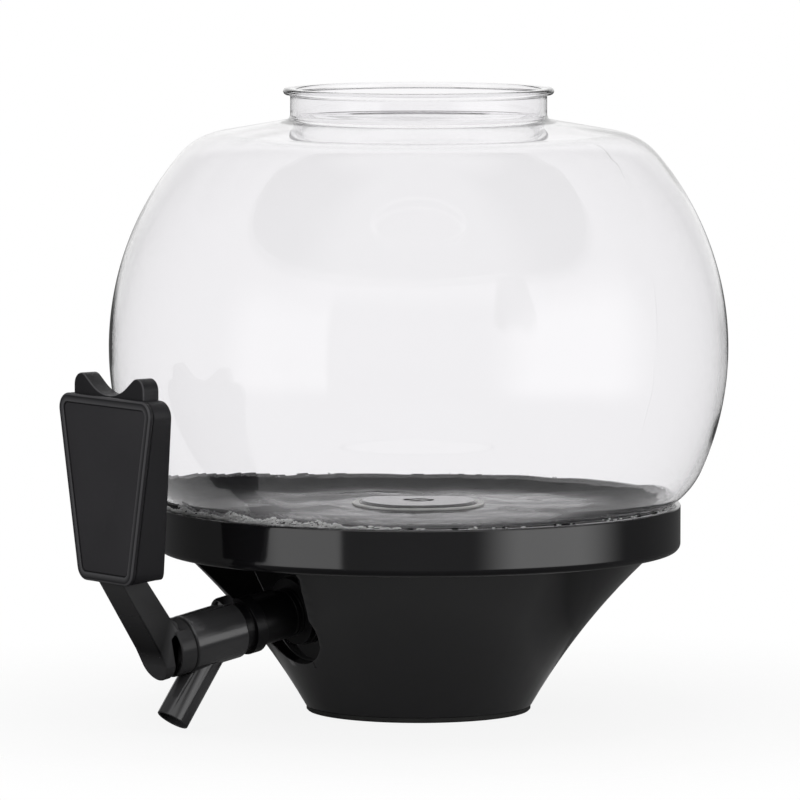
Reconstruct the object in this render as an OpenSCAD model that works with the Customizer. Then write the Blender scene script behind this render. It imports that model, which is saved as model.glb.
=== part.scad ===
// Globe drink dispenser: a clear globe with an open neck, sealed into a black collar tray on a
// flared base, with a lever plug tap set in an alcove of the base.
// Frame: millimetres, +Z up, the tap points along -Y, origin under the middle of the foot.

/* [Base] */
// Thickness of the rubber pad that the base stands on
foot_pad_h = 1.8; // [1.2:0.1:4]
// Outer radius of the base at its foot
foot_r = 42; // [38:0.5:48]
// Overhang of the collar past the top of the flare
collar_out = 9.5; // [7:0.25:13]
// Height of the flare
flare_h = 58; // [55:0.5:64]
// Radius of the hollow arc that the flare follows
flare_arc_r = 247; // [180:1:400]
// Wall of the base
base_wall = 2.5; // [2:0.1:3.5]
// Gap between globe and collar at the top of the collar
collar_gap = 0.65; // [0.4:0.05:1.5]
// Height of the collar
collar_h = 17.5; // [15:0.5:22]
// Wall of the collar
collar_wall = 2.6; // [1.8:0.1:3]
// Rounding of the lower edge of the collar
collar_round = 3; // [1:0.25:4]
// Half width of the alcove beside the tap, which is also the radius of its bottom
alcove_r = 20; // [17:0.5:23]
// Half width of the alcove at the collar
alcove_top_half = 36.5; // [31:0.5:39]

/* [Globe] */
// Largest radius of the globe
globe_r = 115; // [112:0.5:120]
// Radius of the arc of its side, a little under the globe radius so that it is slightly flat
globe_arc_r = 110.65; // [108:0.05:111.5]
// Height of the middle of the globe over its floor
globe_mid_h = 62.9; // [60:0.1:66]
// Depth of the globe floor below the top of the collar
globe_seat = 4.8; // [4:0.1:6]
// Wall of the globe
globe_wall = 2.2; // [1.6:0.1:3]
// Radius of the rounded heel
heel_r = 30; // [27:0.5:34]
// Radius of the rounded shoulder
shoulder_round = 9; // [6:0.5:12]
// Height of the shoulder over the middle of the globe, at the neck
shoulder_h = 84.6; // [82:0.1:87]
// Fall of the shoulder away from the neck, in degrees
shoulder_fall = 10; // [7:0.5:13]
// Outer radius of the neck
neck_r = 47.6; // [43:0.1:52]
// Height of the neck
neck_h = 11.7; // [10:0.1:16]
// Overhang of the rolled rim around the neck
rim_out = 2.6; // [2:0.1:4]
// Height of the rolled rim
rim_h = 2.4; // [2:0.1:3.4]

/* [Drain] */
// Radius of the flange inside the globe
drain_flange_r = 22; // [19:0.5:25]
// Radius of the thread of the drain tail
drain_thread_r = 10.5; // [9.5:0.1:12]
// Radius of the passage through drain and elbow
drain_bore_r = 6; // [5:0.1:7]
// Length of the elbow arm from its corner to the hose
elbow_arm_l = 9.5; // [8:0.25:11]

/* [Tap] */
// Distance of the seam between lever hub and barrel in front of the top of the flare
tap_reach = 19.8; // [16:0.1:24]
// Height of the tap axis at that seam
seam_z = 31.9; // [31.6:0.1:34]
// Slope of the tap axis down to the front, in degrees
tap_tilt = 10; // [9:0.25:11]
// Outer radius of the barrel
barrel_r = 10.6; // [9.8:0.1:11.4]
// Length of the barrel
barrel_l = 23.4; // [22.4:0.1:26]
// Radius of the bore that the plug turns in
barrel_bore_r = 7.55; // [7.2:0.05:7.9]
// Radius of the shank
shank_r = 9; // [8.6:0.1:9.4]
// Distance of the alcove wall in front of the edge of the foot
wall_out = 12; // [10:0.25:13]
// Distance from the seam back to where the spout leaves the barrel axis
spout_s = 17.3; // [16.6:0.1:17.8]
// Angle of the spout from the barrel axis, in degrees
spout_angle = 45; // [42:0.5:46]
// Outer radius of the spout
spout_r = 6.1; // [5.6:0.1:6.6]
// Radius of the passage of the spout
spout_bore_r = 4.6; // [4:0.1:4.8]
// Length of the spout from the barrel axis
spout_l = 37.2; // [34:0.1:37.6]
// Running clearance between plug and barrel
turn_gap = 0.05; // [0.03:0.01:0.1]

/* [Lever] */
// Length of the hub
hub_l = 7; // [6.6:0.1:8]
// Gap of the seam between hub and barrel
seam_gap = 0.3; // [0.2:0.05:0.6]
// Width of the arm
arm_w = 15.5; // [13:0.25:16.5]
// Distance of the paddle front from that seam
paddle_out = 34.2; // [32:0.2:38]
// Height of the lower edge of the paddle
paddle_z = 56.7; // [55.5:0.1:58]
// Height of the paddle without its crest
paddle_h = 67.5; // [60:0.5:75]
// Width of the paddle at its top
paddle_top_w = 60.4; // [52:0.2:64]
// Width of the paddle at its bottom
paddle_bottom_w = 33.5; // [30:0.2:40]
// Corner radius of the paddle
paddle_round = 5.5; // [4:0.1:7]
// Thickness of the front frame of the paddle
frame_t = 1.9; // [1.6:0.1:2.4]
// Width of the raised rim around the panel
frame_rim = 3.3; // [2:0.1:4.5]
// Thickness of the paddle body behind the frame at the top
paddle_top_t = 7.8; // [7:0.1:9]
// Thickness of the paddle body behind the frame at the bottom
paddle_bottom_t = 13.1; // [12.2:0.1:14]
// Width of the crest on top of the paddle
crest_w = 44; // [40:0.5:48]
// Height of the crest ears over the paddle
crest_h = 7.6; // [6:0.1:9]

/* [Hidden] */
$fn = 96;
eps = 0.02;
far = 400;
fit = 0.05;
half = 0.5;

// Heights from the foot upwards
base_z = foot_pad_h;
collar_z = base_z + flare_h;
collar_top = collar_z + collar_h;
floor_z = collar_top - globe_seat;
seat_t = 1;
alcove_top = collar_z - 0.8;
deck_z = floor_z - seat_t;
deck_t = 2.5;
mid_z = floor_z + globe_mid_h;
shoulder_z = mid_z + shoulder_h;
rim_top = shoulder_z + neck_h;
floor_top = floor_z + globe_wall;

// Arc of the globe side and the centres of its heel and shoulder roundings
globe_cx = globe_r - globe_arc_r;
globe_c = [globe_cx, mid_z];
heel_rise = floor_z + heel_r - mid_z;
heel_reach = globe_arc_r - heel_r;
heel_c = [globe_cx + sqrt(heel_reach * heel_reach - heel_rise * heel_rise), floor_z + heel_r];
seat_w = 12;
seat_in_r = heel_c[0] - seat_w;
fall_n = [sin(shoulder_fall), cos(shoulder_fall)];
fall_u = [cos(shoulder_fall), -sin(shoulder_fall)];
fall_p = [neck_r, shoulder_z];
round_w = fall_p - shoulder_round * fall_n - globe_c;
round_d = round_w * fall_u;
round_reach = globe_arc_r - shoulder_round;
round_k = sqrt(round_d * round_d - round_w * round_w + round_reach * round_reach) - round_d;
round_c = fall_p - shoulder_round * fall_n + round_k * fall_u;

// Collar around the heel, flare under the collar and tap in front of the flare
heel_drop = heel_r - globe_seat;
heel_top_r = heel_c[0] + sqrt(heel_r * heel_r - heel_drop * heel_drop);
collar_r = heel_top_r + collar_gap + collar_wall;
flare_top_r = collar_r - collar_out;
seam_y = flare_top_r + tap_reach;
wall_s = (seam_y - foot_r - wall_out) / cos(tap_tilt);
paddle_y = seam_y + paddle_out;

// Sealant bead between globe and collar
bead_rise = 0.9;
bead_dip = 0.4;
bead_lift = 0.6;
bead_round = 1.6;

// Arc of the flare: its centre lies outside the base, on the middle normal of the chord
chord_x = flare_top_r - foot_r;
chord_l = sqrt(chord_x * chord_x + flare_h * flare_h);
chord_sag = sqrt(flare_arc_r * flare_arc_r - chord_l * chord_l / 4);
flare_cx = (foot_r + flare_top_r) / 2 + chord_sag * flare_h / chord_l;
flare_cz = base_z + flare_h / 2 - chord_sag * chord_x / chord_l;

// Tap axis: local z runs out along the barrel from the seam, local y is up
tap_turn = 90 + tap_tilt;
wall_in = -wall_s - base_wall;
washer_t = 1.2;
gasket_t = 2;
shank_flange_t = 2.5;
shank_flange_r = shank_r + 3.6;
shank_nut_h = 6;
shank_nut_r = shank_r + 5.5;
shank_end = wall_in - washer_t - shank_nut_h - 1;
barb_l = 11;
barb_r = 4.95;
barb_bore_r = 3.6;
hose_in_r = barb_r + fit;
hose_wall = 2.2;
hose_r = hose_in_r + hose_wall;
rib_r = 3.2;
rib_y = barrel_r - 0.9;
rib_front = spout_s + 1.7;
rib_back = wall_s - 12;
shank_rib_r = 2.6;
collar_groove_l = 3.7;
collar_step_l = 4.5;

// Thread grooves
thread_pitch = 2.3;
thread_cut = 0.5;
thread_w = 1;

// Upper passage of the spout, narrower and set back where the spout is cut clear of the hub
passage_r = 3.2;
passage_back = 1.6;
spout_step = (barrel_r + seam_gap) / sin(spout_angle) + spout_r / tan(spout_angle) + 1.5;

// Plug and the lip that keeps it in the barrel
plug_r = barrel_bore_r - turn_gap;
front_lip = 2.8;
stem_r = 5.5;
plug_back = -barrel_l + 3.7;
plug_front = -front_lip - 0.2;
plug_in_r = 4.3;
ring_tube_r = 1.05;
ring_mid_r = plug_r - ring_tube_r;
ring_front_s = plug_front - 1.5;
ring_back_s = plug_back + 2.4;
port_s = -spout_s + plug_r / tan(spout_angle) - passage_back / sin(spout_angle);
port_r = 3.6;
drive_w = 6.6;
drive_l = 4.4;

// Elbow: its corner lies where the tap axis meets the globe axis
elbow_z = seam_z + seam_y * tan(tap_tilt);
corner_s = -seam_y / cos(tap_tilt);
elbow_s = corner_s + elbow_arm_l;
elbow_r = 6.5;
elbow_collar_t = 1.5;
elbow_ball_r = elbow_r + 0.6;
tail_l = 11;
tail_end = floor_z - tail_l;
elbow_top = tail_end - elbow_collar_t;
elbow_in_r = drain_bore_r - fit;
elbow_plug_l = 6;
drain_washer_r = drain_flange_r + 2.6;
drain_washer_t = 0.7;
drain_flange_t = 1.2;
drain_nut_h = 6.5;
drain_nut_r = drain_thread_r + 5.5;
drain_low_r = drain_thread_r + 4;
deck_hole_r = drain_nut_r + 5;

// Hose clips
clip_t = 1.2;
clip_w = 6;
clip_ear = 4.5;
clip_front_s = shank_end - barb_l + 2.5;
clip_back_s = elbow_s + 2.5;

// Bottom cover and its screws
cover_t = 2.4;
cover_z = base_z;
cover_top = cover_z + cover_t;
cover_r = foot_r - base_wall - 0.8;
boss_r = 3.6;
boss_pitch_r = cover_r - 7;
boss_h = 12;
screw_r = 1.5;
screw_head_r = 2.9;
screw_head_t = 1.4;
screw_l = 10.4;
slot_w = 0.8;
slot_d = 0.7;
boss_turn = 30;

// Paddle and arm
arm_t = 11.4;
arm_inset = 0.8;
frame_back = paddle_y - frame_t;
panel_t = 0.8;
panel_gap = 0.2;
crest_z = paddle_z + paddle_h;
ear_r = 4.4;
ear_x = crest_w / 2 - ear_r;
valley_dip = crest_h - ear_r - 0.5;
valley_r = 0.92 * (ear_x * ear_x + valley_dip * valley_dip - ear_r * ear_r) / 2 / (ear_r + valley_dip);
crest_t = 7;
crest_front = frame_back - 0.3;
crest_back = crest_front - crest_t;
bottom_rise = 2;
tongue_w = 9;
tongue_t = 5.6;
tongue_in = 2.8;
tongue_back = frame_back - paddle_bottom_t + tongue_in;
tongue_front = tongue_back + tongue_t;
tongue_h = 14;
paddle_screw_low = paddle_z + paddle_h * 0.42;
paddle_screw_high = paddle_z + paddle_h * 0.77;
paddle_screw_r = 1.4;
paddle_head_r = 2.6;
paddle_head_t = 1.5;

// Places children in the tap frame
module on_tap() {
    translate([0, -seam_y, seam_z])
        rotate([tap_turn, 0, 0])
            children();
}

// Extrudes a side view, given as distance to the front and height, evenly across the lever
module side_view(w) {
    rotate([90, 0, -90])
        linear_extrude(height = w, center = true)
            children();
}

// Extrudes a front view forward from a distance y0 to y1
module front_view(y0, y1) {
    translate([0, -y0, 0])
        rotate([90, 0, 0])
            linear_extrude(height = y1 - y0)
                children();
}

// Flat ring lying level
module flat_ring(r_out, r_in, z0, z1) {
    translate([0, 0, z0])
        linear_extrude(height = z1 - z0)
            difference() {
                circle(r_out);
                circle(r_in);
            }
}

// Six-sided nut with a round bore, chamfered on its free face
module hex_nut(r_out, r_in, h, chamfer) {
    intersection() {
        linear_extrude(height = h)
            difference() {
                circle(r_out, $fn = 6);
                circle(r_in);
            }
        union() {
            cylinder(r1 = r_out * cos(30), r2 = r_out * cos(30) + chamfer * 2, h = chamfer);
            translate([0, 0, chamfer])
                cylinder(r = r_out + chamfer * 2, h = h);
        }
    }
}

// Disc beside the base whose edge is the hollow arc of the flare, moved outward by a distance
module flare_cut(out) {
    translate([flare_cx, flare_cz])
        circle(flare_arc_r - out, $fn = 360);
}

module collar_tray() {
    round_x = collar_r - collar_round;
    shelf_r = flare_top_r + fit;
    wall_r = collar_r - collar_wall;
    edge = 0.9;
    color([0.03, 0.03, 0.035])
        rotate_extrude($fn = 180)
            union() {
                translate([shelf_r, collar_z])
                    square([round_x - shelf_r, base_wall]);
                translate([wall_r, collar_z + collar_round])
                    square([collar_wall, collar_h - collar_round - edge]);
                translate([wall_r, collar_top - edge * 2])
                    square([collar_wall - edge, edge * 2]);
                translate([collar_r - edge, collar_top - edge])
                    circle(edge, $fn = 48);
                intersection() {
                    difference() {
                        translate([round_x, collar_z + collar_round])
                            circle(collar_round, $fn = 64);
                        translate([0, collar_z + base_wall])
                            square([wall_r, far]);
                    }
                    translate([round_x, collar_z])
                        square([collar_round, collar_round + eps]);
                }
                translate([wall_r - base_wall, collar_z])
                    square([base_wall + eps, base_wall]);
                translate([deck_hole_r, deck_z - deck_t])
                    square([wall_r - deck_hole_r + 1, deck_t]);
            }
}

// Filled outside of the base, with the spigot that carries the collar tray
module cone_outside() {
    union() {
        difference() {
            translate([0, base_z])
                square([flare_top_r, flare_h + 1]);
            flare_cut(0);
        }
        translate([0, collar_z])
            square([flare_top_r, deck_z - deck_t - collar_z]);
    }
}

// Filled hollow of the base
module cone_inside() {
    spigot_in = flare_top_r - base_wall * 1.3;
    difference() {
        translate([0, base_z - 1])
            square([spigot_in, deck_z]);
        intersection() {
            flare_cut(-base_wall);
            translate([0, base_z - 2])
                square([far, flare_h + 2]);
        }
    }
}

module alcove_shape(out) {
    top_rise = far / 4;
    flare_rise = (collar_z - seam_z) / cos(tap_tilt);
    reach = alcove_r + out + (alcove_top_half - alcove_r) * top_rise / flare_rise;
    circle(alcove_r + out);
    polygon([[-alcove_r - out, 0], [alcove_r + out, 0], [reach, top_rise], [-reach, top_rise]]);
}

module boss_ring() {
    for (i = [0 : 2])
        rotate([0, 0, boss_turn + 120 * i])
            translate([boss_pitch_r, 0, 0])
                children();
}

module base_cone() {
    color([0.03, 0.03, 0.035])
        difference() {
            rotate_extrude($fn = 180)
                cone_outside();
            difference() {
                rotate_extrude($fn = 180)
                    cone_inside();
                intersection() {
                    on_tap()
                        translate([0, 0, wall_in])
                            linear_extrude(height = far)
                                alcove_shape(base_wall);
                    translate([-far / 2, -far / 2, -far / 2])
                        cube([far, far, far / 2 + alcove_top + base_wall]);
                }
                boss_ring()
                    union() {
                        translate([0, 0, cover_top])
                            cylinder(r = boss_r, h = boss_h, $fn = 32);
                        translate([0, -1, cover_top + 2])
                            cube([foot_r, 2, boss_h - 3]);
                    }
            }
            intersection() {
                on_tap()
                    translate([0, 0, -wall_s])
                        linear_extrude(height = far)
                            alcove_shape(0);
                translate([-far / 2, -far / 2, -far / 2])
                    cube([far, far, far / 2 + alcove_top]);
            }
            on_tap()
                translate([0, 0, wall_in - 1])
                    cylinder(r = shank_r + 0.3, h = base_wall + 2);
            boss_ring()
                translate([0, 0, cover_top - 1])
                    cylinder(r = screw_r, h = boss_h - 1, $fn = 24);
        }
}

module foot_pad() {
    edge = 0.5;
    pad_r = foot_r - 0.2;
    color([0.05, 0.05, 0.05])
        rotate_extrude()
            difference() {
                square([pad_r, foot_pad_h]);
                translate([pad_r, 0])
                    rotate(45)
                        square(edge * sqrt(2), center = true);
            }
}

module bottom_cover() {
    color([0.04, 0.04, 0.045])
        difference() {
            translate([0, 0, cover_z])
                cylinder(r = cover_r, h = cover_t);
            boss_ring()
                translate([0, 0, cover_z - 1])
                    cylinder(r = screw_r + 0.2, h = cover_t + 2, $fn = 24);
            boss_ring()
                translate([0, 0, cover_z - 1])
                    cylinder(r = screw_head_r + 0.3, h = screw_head_t + 1, $fn = 32);
        }
}

module cover_screws() {
    slot_l = screw_head_r;
    color([0.72, 0.72, 0.74])
        boss_ring()
            translate([0, 0, cover_z])
                difference() {
                    union() {
                        cylinder(r = screw_head_r, h = screw_head_t, $fn = 32);
                        cylinder(r = screw_r - fit, h = screw_l, $fn = 24);
                    }
                    translate([-slot_w / 2, -slot_l / 2, -slot_d])
                        cube([slot_w, slot_l, slot_d * 2]);
                    translate([-slot_l / 2, -slot_w / 2, -slot_d])
                        cube([slot_l, slot_w, slot_d * 2]);
                }
}

module seat_gasket() {
    color([0.85, 0.86, 0.86])
        flat_ring(heel_c[0] - 1, seat_in_r, deck_z, floor_z);
}

// Half section of the globe, moved inward by a distance
module globe_section(in) {
    reach = 1.7;
    over = 6;
    round_m = (round_c - globe_c) / norm(round_c - globe_c);
    heel_m = (heel_c - globe_c) / norm(heel_c - globe_c);
    down = [0, -1];
    round_q = (fall_n + round_m) / norm(fall_n + round_m);
    heel_q = (down + heel_m) / norm(down + heel_m);
    top_in = fall_p - in * fall_n - far * fall_u;
    top_out = fall_p - in * fall_n + far * fall_u;
    difference() {
        intersection() {
            translate(globe_c)
                circle(globe_arc_r - in, $fn = 360);
            polygon([top_in, top_out, [top_out[0], floor_z + in], [top_in[0], floor_z + in]]);
            translate([0, 0])
                square([far, far]);
        }
        difference() {
            polygon([round_c, round_c + (shoulder_round + over) * fall_n,
                round_c + (shoulder_round + over) * reach * round_q,
                round_c + (shoulder_round + over) * round_m]);
            translate(round_c)
                circle(shoulder_round - in);
        }
        difference() {
            polygon([heel_c, heel_c + (heel_r + over) * down,
                heel_c + (heel_r + over) * reach * heel_q, heel_c + (heel_r + over) * heel_m]);
            translate(heel_c)
                circle(heel_r - in, $fn = 180);
        }
    }
}

module globe() {
    neck_round = 2.5;
    lip = rim_h / 2;
    hole_r = drain_thread_r + 0.3;
    round_z = shoulder_z + neck_round * (1 - fall_n[0]) / fall_n[1];
    neck_c = [neck_r + neck_round, round_z];
    neck_foot = neck_c - (neck_round + 1) * fall_n;
    color([0.86, 0.89, 0.9, 0.35])
        rotate_extrude($fn = 180)
            difference() {
                union() {
                    globe_section(0);
                    difference() {
                        polygon([[0, mid_z], [neck_foot[0], mid_z], neck_foot, neck_c,
                            [neck_r, round_z], [neck_r, rim_top], [0, rim_top]]);
                        translate(neck_c)
                            circle(neck_round - eps, $fn = 48);
                    }
                    translate([0, rim_top - rim_h])
                        square([neck_r + rim_out - lip, rim_h]);
                    translate([neck_r + rim_out - lip, rim_top - lip])
                        circle(lip, $fn = 48);
                }
                globe_section(globe_wall);
                translate([0, mid_z])
                    square([neck_r - globe_wall, far]);
                translate([0, floor_z - 1])
                    square([hole_r, globe_wall + 2]);
            }
}

// Bead of clear sealant in the gap between the heel of the globe and the collar
module sealant_bead() {
    bead_r = collar_r - collar_wall - fit;
    bead_mid = collar_top - bead_dip;
    bead_low = floor_z + bead_lift;
    color([0.9, 0.91, 0.92])
        rotate_extrude($fn = 180)
            difference() {
                intersection() {
                    translate([heel_c[0] + heel_r * half, bead_low])
                        square([far, collar_top + bead_rise - bead_low]);
                    union() {
                        square([bead_r, bead_mid]);
                        translate([bead_r - bead_round, bead_mid])
                            circle(bead_round, $fn = 48);
                    }
                }
                globe_section(-fit);
            }
}

module drain_washer_top() {
    color([0.9, 0.9, 0.88])
        flat_ring(drain_washer_r, drain_thread_r + fit, floor_top, floor_top + drain_washer_t);
}

module drain_fitting() {
    flange_z = floor_top + drain_washer_t;
    bar = 1.2;
    edge = 0.9;
    color([0.05, 0.05, 0.055])
        difference() {
            union() {
                rotate_extrude()
                    difference() {
                        union() {
                            translate([0, tail_end])
                                square([drain_thread_r, flange_z - tail_end + 1]);
                            translate([0, flange_z])
                                square([drain_flange_r, drain_flange_t]);
                        }
                        translate([drain_flange_r, flange_z + drain_flange_t])
                            rotate(45)
                                square(edge * sqrt(2), center = true);
                        square([drain_bore_r, far]);
                    }
                for (turn = [0, 90])
                    rotate([0, 0, turn])
                        translate([-drain_bore_r - 1, -bar / 2, flange_z])
                            cube([drain_bore_r * 2 + 2, bar, drain_flange_t]);
            }
            for (step = [0 : 2])
                translate([0, 0, tail_end + (step + half) * thread_pitch])
                    flat_ring(drain_thread_r + thread_cut, drain_thread_r - thread_cut, 0, thread_w);
        }
}

module drain_washer_low() {
    color([0.06, 0.06, 0.06])
        flat_ring(drain_low_r, drain_thread_r + fit, floor_z - washer_t, floor_z);
}

module drain_nut() {
    color([0.06, 0.06, 0.065])
        translate([0, 0, floor_z - washer_t - drain_nut_h])
            hex_nut(drain_nut_r, drain_thread_r + fit, drain_nut_h, 1);
}

module drain_elbow() {
    color([0.07, 0.07, 0.075])
        difference() {
            union() {
                translate([0, 0, elbow_z])
                    sphere(elbow_ball_r);
                translate([0, 0, elbow_z])
                    cylinder(r = elbow_r, h = elbow_top - elbow_z + eps);
                translate([0, 0, elbow_top])
                    cylinder(r = elbow_r + 2.5, h = elbow_collar_t);
                translate([0, 0, elbow_top])
                    cylinder(r = elbow_in_r, h = elbow_collar_t + elbow_plug_l);
                on_tap()
                    translate([0, 0, corner_s])
                        cylinder(r = elbow_r, h = elbow_arm_l);
                on_tap()
                    translate([0, 0, corner_s])
                        cylinder(r = barb_r, h = elbow_arm_l + barb_l);
            }
            translate([0, 0, elbow_z])
                cylinder(r = barb_bore_r, h = far / 10);
            on_tap()
                translate([0, 0, corner_s - 1])
                    cylinder(r = barb_bore_r - 0.1, h = far / 10);
        }
}

module feed_hose() {
    hose_front = shank_end - fit;
    color([0.8, 0.82, 0.82])
        on_tap()
            flat_ring(hose_r, hose_in_r, elbow_s + fit, hose_front);
}

// Spring band around the hose with two ears
module hose_clip(s) {
    inner = hose_r + fit;
    gap = 1.2;
    color([0.75, 0.76, 0.78])
        on_tap()
            translate([0, 0, s])
                linear_extrude(height = clip_w)
                    difference() {
                        union() {
                            circle(inner + clip_t);
                            translate([-gap / 2 - clip_t, 0])
                                square([gap + clip_t * 2, inner + clip_t + clip_ear]);
                        }
                        circle(inner);
                        translate([-gap / 2, 0])
                            square([gap, inner + clip_t + clip_ear + 1]);
                    }
}

module hose_clip_drain() {
    hose_clip(clip_back_s);
}

module hose_clip_tap() {
    hose_clip(clip_front_s);
}

module on_spout() {
    on_tap()
        translate([0, 0, -spout_s])
            rotate([spout_angle, 0, 0])
                children();
}

module tap_body() {
    tip_bore_r = spout_r - 0.9;
    tip_l = 7;
    edge = 0.6;
    color([0.035, 0.035, 0.04])
        difference() {
            union() {
                on_tap()
                    translate([0, 0, -barrel_l])
                        rotate_extrude()
                            difference() {
                                square([barrel_r, barrel_l]);
                                translate([barrel_r, barrel_l])
                                    rotate(45)
                                        square(edge * sqrt(2), center = true);
                                translate([barrel_r, 0])
                                    rotate(45)
                                        square(edge * sqrt(2), center = true);
                            }
                difference() {
                    on_spout()
                        cylinder(r = spout_r, h = spout_l);
                    on_tap()
                        translate([0, 0, -edge / 2])
                            cylinder(r = barrel_r + seam_gap, h = hub_l * 2);
                }
                on_tap()
                    translate([0, rib_y, -barrel_l])
                        cylinder(r = rib_r, h = barrel_l - rib_front);
                on_tap()
                    translate([0, rib_y, -rib_front])
                        sphere(rib_r);
            }
            on_tap()
                translate([0, 0, -barrel_l - 1])
                    cylinder(r = barrel_bore_r, h = barrel_l + 1 - front_lip);
            on_tap()
                translate([0, 0, -front_lip - 1])
                    cylinder(r = stem_r + turn_gap, h = front_lip + 2);
            on_spout()
                translate([0, -passage_back, 0])
                    cylinder(r = passage_r, h = spout_step + 1);
            on_spout()
                translate([0, 0, spout_step])
                    cylinder(r = spout_bore_r, h = spout_l);
            on_spout()
                translate([0, 0, spout_l - tip_l])
                    cylinder(r = tip_bore_r, h = tip_l + 1);
        }
}

module tap_shank() {
    step_front = -barrel_l - collar_groove_l;
    step_back = step_front - collar_step_l;
    flange_back = -wall_s + gasket_t;
    color([0.04, 0.04, 0.045])
        on_tap()
            difference() {
                union() {
                    rotate_extrude()
                        difference() {
                            union() {
                                translate([0, shank_end])
                                    square([shank_r, -barrel_l - shank_end]);
                                translate([0, step_back])
                                    square([barrel_r, collar_step_l]);
                                translate([0, flange_back])
                                    square([shank_flange_r, shank_flange_t]);
                                translate([0, shank_end - barb_l])
                                    square([barb_r, barb_l + 1]);
                                translate([0, -barrel_l - 1])
                                    square([barrel_bore_r - fit, 1 + 3.2]);
                            }
                            square([barb_bore_r, far * 2], center = true);
                            for (step = [0 : 1])
                                translate([shank_r - thread_cut, flange_back + shank_flange_t + (step + half) * thread_pitch])
                                    square([thread_cut * 2, thread_w]);
                        }
                    difference() {
                        translate([0, shank_r - shank_rib_r * half, -rib_back])
                            cylinder(r = shank_rib_r, h = step_front - 1 + rib_back);
                        translate([0, 0, -rib_back - 1])
                            cylinder(r = shank_r - 1, h = rib_back);
                    }
                }
            }
}

module shank_gasket() {
    color([0.06, 0.06, 0.06])
        on_tap()
            flat_ring(shank_flange_r + 0.6, shank_r + fit, -wall_s, -wall_s + gasket_t);
}

module shank_washer() {
    color([0.06, 0.06, 0.06])
        on_tap()
            flat_ring(shank_nut_r - 0.5, shank_r + fit, wall_in - washer_t, wall_in);
}

module shank_nut() {
    color([0.06, 0.06, 0.065])
        on_tap()
            translate([0, 0, wall_in - washer_t - shank_nut_h])
                hex_nut(shank_nut_r, shank_r + fit, shank_nut_h, 1);
}

module valve_plug() {
    groove_r = ring_mid_r - ring_tube_r;
    groove_w = ring_tube_r * 2 + 0.3;
    color([0.85, 0.85, 0.83])
        on_tap()
            difference() {
                union() {
                    rotate_extrude()
                        difference() {
                            union() {
                                translate([0, plug_back])
                                    square([plug_r, plug_front - plug_back]);
                                translate([0, plug_front - 1])
                                    square([stem_r, seam_gap - plug_front + 1]);
                            }
                            for (s = [ring_front_s, ring_back_s])
                                translate([groove_r, s - groove_w / 2])
                                    square([plug_r, groove_w]);
                            translate([0, plug_back - 1])
                                square([plug_in_r, port_s + port_r / 2 - plug_back + 1]);
                        }
                    translate([-drive_w / 2, -drive_w / 2, seam_gap - eps])
                        cube([drive_w, drive_w, drive_l]);
                }
                translate([0, 0, port_s])
                    rotate([0, 90, 0])
                        cylinder(r = port_r, h = far, center = true, $fn = 48);
            }
}

module plug_ring(s) {
    color([0.08, 0.08, 0.08])
        on_tap()
            translate([0, 0, s])
                rotate_extrude()
                    translate([ring_mid_r, 0])
                        circle(ring_tube_r - 0.01, $fn = 32);
}

module plug_ring_front() {
    plug_ring(ring_front_s);
}

module plug_ring_back() {
    plug_ring(ring_back_s);
}

// Point of the lever plane, given as distance to the front and height, in the tap frame
function to_tap(y, z) = [(y - seam_y) * sin(tap_tilt) + (z - seam_z) * cos(tap_tilt),
    (y - seam_y) * cos(tap_tilt) - (z - seam_z) * sin(tap_tilt)];

// Side view of the arm in the tap frame: height over the axis and distance out from the seam.
// Its foot is a plate that stands in front of the hub and is joined to it at the top.
module arm_side() {
    top_front = to_tap(frame_back - arm_inset, paddle_z);
    top_back = to_tap(frame_back - arm_inset - arm_t, paddle_z);
    low_front = [barrel_r * 0.14, hub_l + arm_t * 0.71];
    low_back = [barrel_r + arm_t * 0.21, hub_l + arm_t * 0.11];
    foot_front = hub_l + arm_t * 0.45;
    foot_back = hub_l + arm_t * 0.16;
    rise = 0.4;
    polygon([[-arm_w, foot_back], [-arm_w, foot_front], [-barrel_r, foot_front], [-barrel_r * 0.45, hub_l + arm_t * 0.54],
        low_front, top_front, top_front + (top_front - low_front) * rise,
        top_back + (top_back - low_back) * rise, top_back, low_back,
        [barrel_r * 0.97, hub_l * 0.75], [barrel_r * 0.7, hub_l * 0.75], [barrel_r * 0.45, foot_back]]);
}

// Side view of all that lies under the paddle
module paddle_under() {
    back_bottom = frame_back - paddle_bottom_t;
    polygon([[paddle_y + far, -far], [paddle_y + far, paddle_z], [paddle_y, paddle_z],
        [back_bottom, paddle_z + bottom_rise], [back_bottom - far, paddle_z + bottom_rise],
        [back_bottom - far, -far]]);
}

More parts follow.
